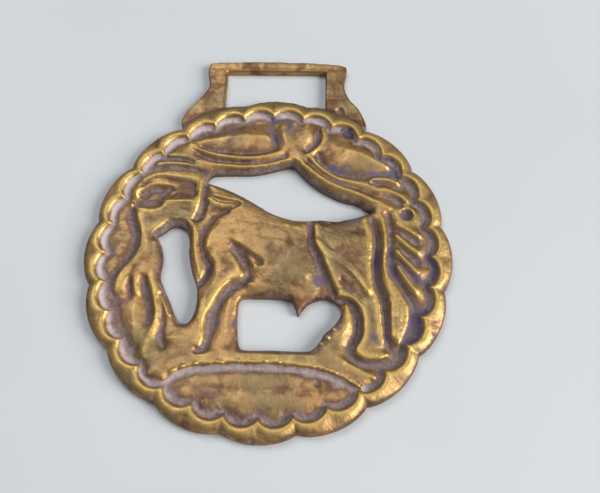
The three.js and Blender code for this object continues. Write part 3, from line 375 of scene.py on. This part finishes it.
# Dark violet tarnish, and painted shade on the scalloped wall at the right and lower right: the middle and
# the radius of each patch
TARNISH_AND_PAINTED_SHADE = {
    "pit_by_spray": (16.3, 29.3, 2.0),
    "pit_by_plant": (28.5, 9.5, 2.0),
    "beaded_groove": (15.5, 19.5, 3.5),
    # painted shade: the scalloped wall at the right and lower right, turned away from the light
    "right_wall_in_shade": (33, -3, 4.5),
    "lower_right_wall_in_shade": (29.5, -15, 5.5),
    "belly_opening": (12, -15, 4.0),
    "flank": (10.5, -6.5, 2.2),
    "rump": (17, 8.3, 2.5),
    "elbow": (-12, -3.5, 2.2),
    "tail": (24, -2, 4.0),
    "hind_foot": (21, -18, 3.0),
    "foreleg_back": (-7, -15, 2.5),
    "right_leaves": (24, 20, 4.0),
    "top_leaves": (2, 30, 4.0),
}

# Dull brown grime on ground that the polishing cloth doesn't reach
DULL = {
    "before_muzzle": (-29.6, 6, 3.0),
    "below_muzzle": (-30.2, 1, 2.8),
    "before_plant": (-30.8, -5, 2.5),
    "plant_ground": (-29.5, -11, 2.8),
    "plant_foot": (-27, -17, 2.8),
    "above_head": (-22, 20, 2.6),
    "above_muzzle": (-26.5, 18, 2.0),
    "top_left_leaf": (-10, 28, 3.0),
    "knot_side": (4, 29.5, 2.5),
    "behind_tail": (29, -4, 2.6),
    "hind_ground": (27, -14, 3.0),
    "panel_left": (-10, -29, 3.5),
}


# ---- lines and distances

def smooth(points, closed=False, per=SMOOTHING):
    """Catmull-Rom line through the points; any further columns, such as the height, go along."""
    p = np.array(points, float)
    if closed:
        q = np.vstack([p[-1], p, p[0], p[1]])
        spans = len(p)
    else:
        q = np.vstack([2 * p[0] - p[1], p, 2 * p[-1] - p[-2]])
        spans = len(p) - 1
    line = []
    for a, b, c, d in (q[k : k + 4] for k in range(spans)):
        for t in np.arange(per) / per:
            bend = (2 * a - 5 * b + 4 * c - d) * t * t + (3 * b - a - 3 * c + d) * t**3
            line.append((2 * b + (c - a) * t + bend) / 2)
    line.append(p[0] if closed else p[-1])
    return np.array(line)


def near_line(line, x, y, reach):
    """Distance to the line, the side (1 on its left), and the line's own height at the nearest point.
    x and y are the two axes of a grid. Points farther than reach keep a distance beyond it."""
    distance = np.full((len(y), len(x)), reach * 2 + 1.0)
    side = np.zeros_like(distance)
    height = np.zeros_like(distance)
    for a, b in zip(line[:-1], line[1:]):
        low = np.minimum(a, b)[:2] - reach
        high = np.maximum(a, b)[:2] + reach
        i0, i1 = np.searchsorted(x, [low[0], high[0]])
        j0, j1 = np.searchsorted(y, [low[1], high[1]])
        run = b[:2] - a[:2]
        length2 = run @ run
        if i0 >= i1 or j0 >= j1 or length2 < 1e-12:
            continue
        dx = x[None, i0:i1] - a[0]
        dy = y[j0:j1, None] - a[1]
        t = np.clip((dx * run[0] + dy * run[1]) / length2, 0, 1)
        gap = np.hypot(dx - t * run[0], dy - t * run[1])
        here = np.s_[j0:j1, i0:i1]
        nearer = gap < distance[here]
        distance[here][nearer] = gap[nearer]
        side[here][nearer] = np.sign(run[0] * dy - run[1] * dx)[nearer]
        if line.shape[1] > 2:
            height[here][nearer] = (a[2] + t * (b[2] - a[2]))[nearer]
    return distance, side, height


def inside(loop, x, y):
    """Whether each point lies inside the closed loop."""
    odd = np.zeros(np.broadcast(x, y).shape, bool)
    for a, b in zip(loop, np.roll(loop, -1, 0)):
        if a[1] != b[1]:
            crossing = a[0] + (b[0] - a[0]) * (y - a[1]) / (b[1] - a[1])
            odd ^= ((a[1] > y) != (b[1] > y)) & (x < crossing)
    return odd


def blur(z, sigma):
    """Gaussian blur of a height field; sigma is in cells."""
    span = max(1, math.ceil(3 * sigma))
    weights = np.exp(-0.5 * (np.arange(-span, span + 1) / sigma) ** 2)
    weights /= weights.sum()
    for axis in (0, 1):
        padded = np.pad(z, [(span, span) if k == axis else (0, 0) for k in (0, 1)], mode="edge")
        size = z.shape[axis]
        z = sum(w * np.take(padded, range(k, k + size), axis) for k, w in enumerate(weights))
    return z


# ---- the disc and the hanger

def lobe_radius(angle):
    """The outline: round lobes that meet in notches."""
    u = 2 * ((angle / (2 * math.pi) * LOBES + 0.5) % 1) - 1
    return LOBE_NOTCH + LOBE_RISE * (1 - u * u) ** 0.8


def scallop_radius(angle):
    """The rim's inner edge: scallops that meet in cusps."""
    v = 2 * ((angle / (2 * math.pi) * SCALLOPS) % 1) - 1
    return SCALLOP_CUSP + SCALLOP_RISE * (1 - v * v) ** 0.7


def rim_height(r, angle):
    """From the inner wall over the crest to the outer edge."""
    inner = scallop_radius(angle)
    climb = np.clip((r - inner) / RIM_WALL + 1, 0, 1)
    wall = FIELD_HEIGHT + (RIM_HEIGHT - FIELD_HEIGHT) * climb**0.8
    crest = inner + RIM_CREST
    fall = np.clip((r - crest) / (lobe_radius(angle) - crest), 0, 1)
    return np.where(r < inner, wall, RIM_HEIGHT - RIM_FALL * fall**1.6)


# ---- the relief as a height field

def relax(fixed, height, cell):
    """Spans the fixed heights with a membrane that swells a little between them, coarse grid first."""
    rows, columns = fixed.shape
    if min(rows, columns) > 24:
        half_rows, half_columns = (rows + 1) // 2, (columns + 1) // 2
        shape = (half_rows, 2, half_columns, 2)
        known = np.zeros((half_rows * 2, half_columns * 2))
        sums = np.zeros_like(known)
        known[:rows, :columns] = fixed
        sums[:rows, :columns] = np.where(fixed, height, 0)
        count = known.reshape(shape).sum((1, 3))
        mean = sums.reshape(shape).sum((1, 3)) / np.maximum(count, 1)
        coarse = relax(count > 0, mean, cell * 2)
        z = np.repeat(np.repeat(coarse, 2, 0), 2, 1)[:rows, :columns]
    else:
        z = np.full(fixed.shape, height[fixed].mean())
    z = np.where(fixed, height, z)
    for _ in range(RELAX_SWEEPS):
        p = np.pad(z, 1, mode="edge")
        mean = (p[:-2, 1:-1] + p[2:, 1:-1] + p[1:-1, :-2] + p[1:-1, 2:]) / 4
        z = np.where(fixed, height, mean + SWELL * cell * cell / 4)
    return z


def stroke_profile(distance, reach):
    """A smooth hump: 1 on the line and 0 at reach."""
    return (1 - np.clip(distance / reach, 0, 1) ** 2) ** 2


def pinned_heights(x, y):
    """The heights set by the rim, the hanger and the form lines, and where they are set."""
    r = np.hypot(x[None, :], y[:, None])
    angle = np.arctan2(y[:, None], x[None, :])
    on_hanger = (y[:, None] > HANGER_FOOT) & (r > lobe_radius(angle))
    height = np.where(on_hanger, HANGER_HEIGHT, rim_height(r, angle))
    wall_foot = scallop_radius(angle) - RIM_WALL
    fixed = r > wall_foot
    in_field = r < wall_foot - STEP
    on_line = STEP * 0.75
    on_foot = on_line * 0.8

    def set_height(where, z):
        where = where & in_field
        fixed[where] = True
        height[where] = z[where] if isinstance(z, np.ndarray) else z

    lines = [smooth(points, True) for points in OPENINGS.values()]
    lines += [smooth(points) for group in FORMS for points in group.values()]
    for line in lines:
        distance, _, z = near_line(line, x, y, STEP)
        set_height(distance <= on_line, z)
    for step in STEPS.values():
        distance, side, z = near_line(smooth(step["line"]), x, y, step["width"] + 2 * STEP)
        set_height((side < 0) & (abs(distance - step["width"]) <= on_foot), step["foot"])
        set_height(distance <= on_line, z)
    return fixed, height


def crisp_share(x, y):
    """How much of the deepening applies: none on the hanger and at the rim's edge."""
    r = np.hypot(x[None, :], y[:, None])
    angle = np.arctan2(y[:, None], x[None, :])
    on_hanger = (y[:, None] > HANGER_FOOT) & (r > lobe_radius(angle))
    return np.clip((LOBE_NOTCH - r) / CRISP_FADE, 0, 1) * ~on_hanger


def panel_beads(chance):
    """Small bumps strung along the panel's upper edge, as pits of negative depth."""
    line = smooth(STEPS["panel_top"]["line"], per=10)[:, :2]
    return [
        (*point + chance.normal(0, BEAD_SCATTER, 2), BEAD_RADIUS, chance.uniform(-BEAD_HEIGHT, 0))
        for point in line
    ]


def relief_field():
    """The grid's axes, and the height at each of its points."""
    disc_radius = LOBE_NOTCH + LOBE_RISE
    x = np.arange(-disc_radius - MARGIN, disc_radius + MARGIN, STEP)
    y = np.arange(LOW.y - MIDDLE_Y - MARGIN, HIGH.y - MIDDLE_Y + MARGIN, STEP)
    z = relax(*pinned_heights(x, y), STEP)
    for points, width, rise in STROKES.values():
        distance, _, _ = near_line(smooth(points), x, y, width)
        z += rise * stroke_profile(distance, width / 2)
    chance = np.random.default_rng(4)
    for px, py, radius, depth in list(PITS.values()) + panel_beads(chance):
        t = np.clip(np.hypot(x[None, :] - px, y[:, None] - py) / radius, 0, 1)
        z -= depth * (1 - t**4) ** 2
    z = blur(z, WEAR / STEP)
    z += CRISPNESS * (z - blur(z, CRISP_REACH / STEP)) * crisp_share(x, y)
    for spread in UNEVEN_SPREADS:
        waves = blur(chance.standard_normal(z.shape), spread / STEP)
        share = 0.3 + 0.5 * lowness(x, y, z)
        z += UNEVENNESS * waves / waves.std() * share
    return x, y, np.clip(z, THINNEST, HIGH.z - TOP_CLEARANCE)


def lowness(x, y, z):
    """1 on the ground between the forms, where the casting stays rough, and 0 on the forms."""
    before = 0.4  # radius of the blur that passes over small marks
    after = 0.3  # radius of the blur that softens the result
    inner = np.hypot(x[None, :], y[:, None]) < SCALLOP_CUSP + 0.5
    depth = np.clip((GROUND_TOP - blur(z, before / STEP)) / GROUND_FADE, 0, 1)
    return blur(depth * inner, after / STEP)


def sample(x, y, field, px, py):
    """The field's value at scattered points."""
    fx = np.clip((px - x[0]) / STEP, 0, len(x) - 1.001)
    fy = np.clip((py - y[0]) / STEP, 0, len(y) - 1.001)
    i, j = fx.astype(int), fy.astype(int)
    u, v = fx - i, fy - j
    low = field[j, i] * (1 - u) + field[j, i + 1] * u
    high = field[j + 1, i] * (1 - u) + field[j + 1, i + 1] * u
    return low * (1 - v) + high * v


# ---- outlines

def even(loop, spacing):
    """The closed loop with evenly spaced points, its sharp corners kept."""
    loop = loop[:-1] if np.allclose(loop[0], loop[-1]) else loop
    ahead = np.roll(loop, -1, 0) - loop
    behind = np.roll(ahead, 1, 0)
    turn = np.arctan2(behind[:, 0] * ahead[:, 1] - behind[:, 1] * ahead[:, 0], (behind * ahead).sum(1))
    corners = np.flatnonzero(abs(turn) > math.radians(30))
    if len(corners) == 0:
        corners = np.array([0])
    out = []
    for k, start in enumerate(corners):
        end = corners[(k + 1) % len(corners)]
        span = (end - start) % len(loop) or len(loop)
        run = loop[(start + np.arange(span + 1)) % len(loop)]
        length = np.concatenate([[0], np.cumsum(np.hypot(*np.diff(run, axis=0).T))])
        count = max(1, round(length[-1] / spacing))
        s = np.arange(count) * length[-1] / count
        out.append(np.stack([np.interp(s, length, run[:, 0]), np.interp(s, length, run[:, 1])], 1))
    return np.vstack(out)


def outer_loop():
    """Round the disc from the left foot of the hanger to the right one, then back along the hanger."""
    lobe = 2 * math.pi / LOBES
    steps = 24
    count = (LOBES - HANGER_LOBES) * steps + 1
    angle = (HANGER_FIRST_NOTCH + np.arange(count) / steps) * lobe
    r = lobe_radius(angle)
    r[::steps] = LOBE_NOTCH
    disc = np.stack([r * np.cos(angle), r * np.sin(angle)], 1)
    hanger = smooth(HANGER, True)[-2::-1]
    hanger = np.roll(hanger, -hanger[:, 1].argmin(), 0)
    clearance = 0.15
    hanger_angle = np.arctan2(hanger[:, 1], hanger[:, 0])
    outside = np.hypot(*hanger.T) > lobe_radius(hanger_angle) + clearance
    return np.vstack([disc, hanger[outside]])


def counterclockwise(loop):
    """The loop, turned round where it runs clockwise."""
    area = (loop[:, 0] * np.roll(loop[:, 1], -1) - np.roll(loop[:, 0], -1) * loop[:, 1]).sum()
    return loop if area > 0 else loop[::-1]


def inset(loop, by):
    """The loop moved to its left by a distance, along the mean normal of its two sides."""
    ahead = np.roll(loop, -1, 0) - loop
    ahead /= np.hypot(*ahead.T)[:, None]
    mean = ahead + np.roll(ahead, 1, 0)
    mean /= np.hypot(*mean.T)[:, None]
    return loop + by * np.stack([-mean[:, 1], mean[:, 0]], 1)


# ---- the skin

def planar_mesh(loops, points):
    """Triangles over the area inside the first loop and outside the others, through all the points."""
    vertices = np.vstack(loops + [points])
    edges = []
    first = 0
    for loop in loops:
        n = len(loop)
        edges += [(first + k, first + (k + 1) % n) for k in range(n)]
        first += n
    found = delaunay_2d_cdt([Vector(v) for v in vertices], edges, [], 1, 1e-7)
    origin = np.array([sources[0] for sources in found[3]])
    triangles = origin[np.array(found[2])]
    middles = vertices[triangles].mean(1)
    keep = np.ones(len(triangles), bool)
    for loop in loops[1:]:
        low, high = loop.min(0), loop.max(0)
        close = ((middles > low) & (middles < high)).all(1)
        keep[np.flatnonzero(close)[inside(loop, *middles[close].T)]] = False
    triangles = triangles[keep]
    a, b, c = (vertices[triangles[:, k]] for k in range(3))
    down = ((b - a)[:, 0] * (c - a)[:, 1] - (b - a)[:, 1] * (c - a)[:, 0]) < 0
    triangles[down] = triangles[down][:, ::-1]
    return vertices, triangles


def fill_points(loops, spacing, clearance):
    """Staggered grid points inside the first loop, outside the others and clear of all of them."""
    low, high = loops[0].min(0), loops[0].max(0)
    x = np.arange(low[0], high[0], spacing)
    y = np.arange(low[1], high[1], spacing * math.sqrt(3) / 2)
    px, py = np.meshgrid(x, y)
    px[::2] += spacing / 2
    keep = inside(loops[0], px, py)
    for loop in loops[1:]:
        keep &= ~inside(loop, px, py)
    for loop in loops:
        distance, _, _ = near_line(np.vstack([loop, loop[:1]]), x, y, clearance + spacing)
        keep &= distance > clearance + spacing / 4
    return np.stack([px[keep], py[keep]], 1)


def edge_distance(loops, points, reach):
    """How far each point lies from the nearest loop, up to reach."""
    distance = np.full(len(points), reach)
    for loop in loops:
        for a, b in zip(loop, np.roll(loop, -1, 0)):
            low, high = np.minimum(a, b) - reach, np.maximum(a, b) + reach
            close = np.flatnonzero(((points > low) & (points < high)).all(1))
            if len(close) == 0:
                continue
            run = b - a
            d = points[close] - a
            t = np.clip(d @ run / (run @ run), 0, 1)
            distance[close] = np.minimum(distance[close], np.hypot(*(d - t[:, None] * run).T))
    return distance


def rounded_edge(distance, radius):
    """How far a rounded edge lies under the flat surface at this distance from it."""
    t = np.clip(1 - distance / radius, 0, 1)
    return radius * (1 - np.sqrt(1 - t * t))


def outline_loops():
    """The outline, then the slot and the openings, with the metal always on the left."""
    holes = [np.array(SLOT, float)]
    holes += [smooth(points, True)[:, :2] for points in OPENINGS.values()]
    loops = [even(counterclockwise(outer_loop()), STEP)]
    loops += [even(counterclockwise(hole), STEP)[::-1] for hole in holes]
    return loops


def wall_faces(loops, wall_start, back_start):
    """Two rows of quads round every loop: top edge to wall foot, and wall foot to back."""
    faces = []
    first = 0
    for loop in loops:
        n = len(loop)
        here = first + np.arange(n)
        after = first + (np.arange(n) + 1) % n
        faces += list(zip(wall_start + here, wall_start + after, after, here))
        faces += list(zip(back_start + here, back_start + after, wall_start + after, wall_start + here))
        first += n
    return faces


def make_skin(x, y, z):
    """The vertices and faces of the casting, closed all round: top, walls and flat back."""
    loops = outline_loops()
    top, top_faces = planar_mesh(loops, fill_points(loops, STEP, clearance=0.1))
    height = sample(x, y, z, *top.T)
    height -= rounded_edge(edge_distance(loops, top, EDGE_RADIUS), EDGE_RADIUS)
    back_loops = [inset(loop, BACK_INSET) for loop in loops]
    back, back_faces = planar_mesh(back_loops, fill_points(back_loops, BACK_STEP, clearance=0.4))
    edge_count = sum(len(loop) for loop in loops)
    positions = np.vstack([
        np.column_stack([top, height]),
        np.column_stack([top[:edge_count], np.full(edge_count, WALL_FOOT)]),
        np.column_stack([back, np.zeros(len(back))]),
    ])
    wall_start = len(top)
    back_start = wall_start + edge_count
    faces = [tuple(f) for f in top_faces]
    faces += [tuple(f) for f in back_faces[:, ::-1] + back_start]
    faces += wall_faces(loops, wall_start, back_start)
    return positions, faces


def patches_over(x, y, patches):
    """Soft round patches, 1 in their middles."""
    cover = np.zeros((len(y), len(x)))
    for spot_x, spot_y, radius in patches.values():
        away = np.hypot(x[None, :] - spot_x, y[:, None] - spot_y) / radius
        cover = np.maximum(cover, np.exp(-(away**4)))
    return cover


def to_row(positions):
    """From the disc's millimetres to the row frame's metres."""
    return (positions + [MIDDLE_X, MIDDLE_Y, 0]) * MM


def pale_grime_and_painted_light_cover(x, y):
    """Pale grime on the scalloped wall and along the panel's edge, partly painted light: it is made palest
    on the walls at the upper left, which face the light.
    """
    wall_spread = 1.3
    panel_spread = 1.5
    panel_share = 0.8
    from_wall = np.hypot(x[None, :], y[:, None]) - SCALLOP_CUSP - 1
    # painted light: the wall's pale cover grows towards the upper left, the side turned to the lamp
    lit_upper_left = np.clip(0.65 + (y[:, None] - x[None, :]) / 70, 0.25, 1)
    on_wall = np.exp(-((from_wall / wall_spread) ** 2)) * lit_upper_left
    from_panel, _, _ = near_line(smooth(STEPS["panel_top"]["line"]), x, y, reach=4.0)
    return np.maximum(on_wall, panel_share * np.exp(-((from_panel / panel_spread) ** 2)))


def surface_fields(x, y, z):
    """What the material reads at each vertex."""
    return {
        # violet tarnish, with painted shade on the walls at the right and lower right
        "tarnish_and_painted_shade": patches_over(x, y, TARNISH_AND_PAINTED_SHADE),
        # pale grime, with painted light on the walls that face the lamp
        "pale_grime_and_painted_light": pale_grime_and_painted_light_cover(x, y),
        "low": np.maximum(lowness(x, y, z), DULL_SHARE * patches_over(x, y, DULL)),
        "hollow": blur(z, HOLLOW_REACH / STEP) - z,
        "slope": np.hypot(*np.gradient(z, STEP)),
    }


def add_layer(mesh, name, values):
    layer = mesh.attributes.new(name, "FLOAT", "POINT")
    layer.data.foreach_set("value", values.astype(np.float32))


def add_brass():
    x, y, z = relief_field()
    positions, faces = make_skin(x, y, z)
    mesh = bpy.data.meshes.new("horse_brass_casting")
    mesh.from_pydata(to_row(positions).tolist(), [], [tuple(int(v) for v in f) for f in faces])
    mesh.polygons.foreach_set("use_smooth", np.ones(len(mesh.polygons), bool))
    for name, field in surface_fields(x, y, z).items():
        add_layer(mesh, name, sample(x, y, field, *positions[:, :2].T))
    add_layer(mesh, "front", positions[:, 2] > WALL_FOOT + 0.05)
    mesh.validate()
    brass = bpy.data.objects.new("horse_brass_casting", mesh)
    bpy.context.scene.collection.objects.link(brass)
    return brass


# ---- materials

class Nodes:
    """Short forms for building a node tree."""

    def __init__(self, material):
        material.use_nodes = True
        self.tree = material.node_tree
        self.tree.nodes.clear()

    def feed(self, socket, value):
        if isinstance(value, bpy.types.NodeSocket):
            self.tree.links.new(value, socket)
        else:
            socket.default_value = value

    def add(self, kind, inputs=(), **settings):
        node = self.tree.nodes.new(kind)
        for key, value in settings.items():
            setattr(node, key, value)
        for key, value in dict(inputs).items():
            self.feed(node.inputs[key], value)
        return node

    def math(self, operation, a, b):
        return self.add("ShaderNodeMath", {0: a, 1: b}, operation=operation).outputs[0]

    def total(self, *terms):
        """The sum of (value, weight) pairs."""
        parts = [self.math("MULTIPLY", value, weight) for value, weight in terms]
        result = parts[0]
        for part in parts[1:]:
            result = self.math("ADD", result, part)
        return result

    def ramp(self, value, low, high):
        inputs = {"Value": value, "From Min": low, "From Max": high}
        return self.add("ShaderNodeMapRange", inputs).outputs["Result"]

    def mix(self, factor, a, b):
        node = self.add("ShaderNodeMix", {"Factor": factor}, data_type="RGBA")
        first, second = (socket for socket in node.inputs if socket.type == "RGBA")
        self.feed(first, a)
        self.feed(second, b)
        return next(socket for socket in node.outputs if socket.type == "RGBA")

    def noise(self, where, scale, detail=3.0, roughness=0.55):
        inputs = {"Vector": where, "Scale": scale, "Detail": detail, "Roughness": roughness}
        return self.add("ShaderNodeTexNoise", inputs).outputs["Fac"]

    def attribute(self, name):
        return self.add("ShaderNodeAttribute", attribute_name=name).outputs["Fac"]

    def finish(self, **inputs):
        """Ends the tree with a shader; the inputs' names have _ for the space."""
        named = {key.replace("_", " "): value for key, value in inputs.items()}
        shader = self.add("ShaderNodeBsdfPrincipled", named)
        self.add("ShaderNodeOutputMaterial", {"Surface": shader.outputs["BSDF"]})


def metal_colour(n, where, clouds):
    """Ochre and olive brass, browned in blotches and in hollows, rubbed bright on crests."""
    ochre = (0.46, 0.27, 0.115, 1)
    olive = (0.29, 0.205, 0.10, 1)
    brown = (0.20, 0.10, 0.055, 1)
    polished = (0.56, 0.37, 0.13, 1)
    hollow = n.attribute("hollow")
    colour = n.mix(n.ramp(n.noise(where, 110.0), 0.40, 0.60), ochre, olive)
    blotches = n.math("SUBTRACT", n.math("ADD", clouds, n.noise(where, 170.0)), 0.98)
    brownness = n.total((hollow, 1.3), (blotches, 1.1), (n.attribute("low"), 0.2))
    colour = n.mix(n.ramp(brownness, 0.0, 0.26), colour, brown)
    crest = n.total((hollow, -1.5), (clouds, -0.3))
    return n.mix(n.ramp(crest, 0.0, 0.35), colour, polished)


def grime_and_painted_light_layer(n, clouds, specks):
    """How much grime lies on the metal, and its colour: pale, dark or violet. The pale carries painted
    light on the walls that face the lamp, the violet painted shade on the walls turned away from it.
    """
    pale = (0.46, 0.37, 0.36, 1)
    dark = (0.15, 0.095, 0.08, 1)
    violet = (0.12, 0.09, 0.135, 1)
    # violet tarnish, with painted shade on the walls at the right and lower right
    tarnish_and_painted_shade = n.math("MULTIPLY", n.attribute("tarnish_and_painted_shade"), n.ramp(clouds, 0.36, 0.6))
    amount = n.total(
        (n.attribute("hollow"), 1.3),
        (n.attribute("slope"), 0.26),
        (n.math("SUBTRACT", clouds, 0.5), 1.4),
        (tarnish_and_painted_shade, 0.4),
        (n.attribute("low"), 0.36),
    )
    mask = n.math("MULTIPLY", n.ramp(amount, 0.2, 0.7), n.attribute("front"))
    # pale grime, painted paler on the walls at the upper left, which face the light
    paleness = n.total((n.attribute("pale_grime_and_painted_light"), 0.45), (specks, 0.45), (clouds, 0.3))
    colour = n.mix(n.ramp(paleness, 0.32, 0.78), dark, pale)
    # violet: tarnish, and painted shade on the walls at the right and lower right
    violetness = n.total((tarnish_and_painted_shade, 1.0), (specks, 0.4))
    return mask, n.mix(n.ramp(violetness, 0.4, 0.8), colour, violet)


def brass_material():
    material = bpy.data.materials.new("aged_brass")
    n = Nodes(material)
    where = n.add("ShaderNodeTexCoord").outputs["Object"]
    clouds = n.noise(where, 420.0, 5.0, 0.6)
    specks = n.noise(where, 1700.0, 3.0, 0.65)
    # grime, with painted light and painted shade on the scalloped walls
    mask, grime_and_painted_light = grime_and_painted_light_layer(n, clouds, specks)
    roughness = n.math("ADD", 0.30, n.total((clouds, 0.40), (mask, 0.25)))
    grain = n.total((n.noise(where, 2800.0), 0.4), (specks, 0.6))
    dents = n.add("ShaderNodeBump", {"Height": clouds, "Strength": 0.5, "Distance": 0.0005})
    bump = n.add("ShaderNodeBump", {
        "Height": grain,
        "Strength": 0.6,
        "Distance": 0.00013,
        "Normal": dents.outputs["Normal"],
    })
    n.finish(
        Base_Color=n.mix(mask, metal_colour(n, where, clouds), grime_and_painted_light),
        Metallic=n.math("SUBTRACT", 1.0, n.math("MULTIPLY", mask, 0.9)),
        Roughness=roughness,
        Normal=bump.outputs["Normal"],
    )
    return material


def floor_material():
    material = bpy.data.materials.new("pale_surface")
    n = Nodes(material)
    where = n.add("ShaderNodeTexCoord").outputs["Object"]
    darker = (0.53, 0.555, 0.565, 1)
    lighter = (0.56, 0.585, 0.595, 1)
    tone = n.ramp(n.noise(where, 12.0, 2.0), 0.3, 0.7)
    n.finish(Base_Color=n.mix(tone, darker, lighter), Roughness=0.55)
    return material


# ---- stage

def add_floor():
    half = 3.0
    corners = [(-half, -half, 0), (half, -half, 0), (half, half, 0), (-half, half, 0)]
    mesh = bpy.data.meshes.new("floor")
    mesh.from_pydata(corners, [], [(0, 1, 2, 3)])
    mesh.materials.append(floor_material())
    floor = bpy.data.objects.new("floor", mesh)
    bpy.context.scene.collection.objects.link(floor)


def add_camera():
    """Looks steeply down on the brass, from the side away from the hanger."""
    tilt = math.radians(24.29)  # away from straight down
    lean = math.radians(1.42)
    twist = math.radians(1.7)  # how far the brass is turned on the surface, seen from the camera
    distance = 152.86  # millimetres to the point aimed at
    aim = Vector((6.679, 2.842, 0))  # that point, from the middle of the disc
    look = Matrix.Rotation(lean, 3, "Y") @ Matrix.Rotation(tilt, 3, "X")
    untwist = Matrix.Rotation(twist, 3, "Z")
    from_disc = untwist @ (look @ Vector((0, 0, distance)) + aim)
    place = from_disc + Vector((MIDDLE_X, MIDDLE_Y, 0))
    data = bpy.data.cameras.new("camera")
    data.sensor_width = 36.0
    data.lens = 44.4
    data.clip_start = 0.01
    camera = bpy.data.objects.new("camera", data)
    camera.matrix_world = Matrix.Translation(place * MM) @ (untwist @ look).to_4x4()
    bpy.context.scene.collection.objects.link(camera)
    bpy.context.scene.camera = camera


def add_softbox(name, place, size, power, colour):
    """A square soft light, in metres, turned to the middle of the frame."""
    data = bpy.data.lights.new(name, "AREA")
    data.shape = "SQUARE"
    data.size = size
    data.energy = power
    data.color = colour
    light = bpy.data.objects.new(name, data)
    light.location = place
    light.rotation_euler = (-Vector(place)).to_track_quat("-Z", "Y").to_euler()
    bpy.context.scene.collection.objects.link(light)


def add_light():
    add_softbox("window_light", (1.1, -0.30, 0.72), 0.85, 24.0, (1.0, 0.985, 0.965))
    add_softbox("overhead_light", (-0.35, 0.45, 1.1), 0.7, 6.0, (0.96, 0.97, 1.0))
    world = bpy.data.worlds.new("studio")
    world.use_nodes = True
    background = world.node_tree.nodes["Background"]
    background.inputs["Color"].default_value = (0.80, 0.86, 0.92, 1)
    background.inputs["Strength"].default_value = 0.3
    bpy.context.scene.world = world
    bpy.context.scene.view_settings.view_transform = "Standard"


add_camera()
add_floor()
add_light()

brass = add_brass()
brass.data.materials.append(brass_material())
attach(brass, "root")
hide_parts(NODE)
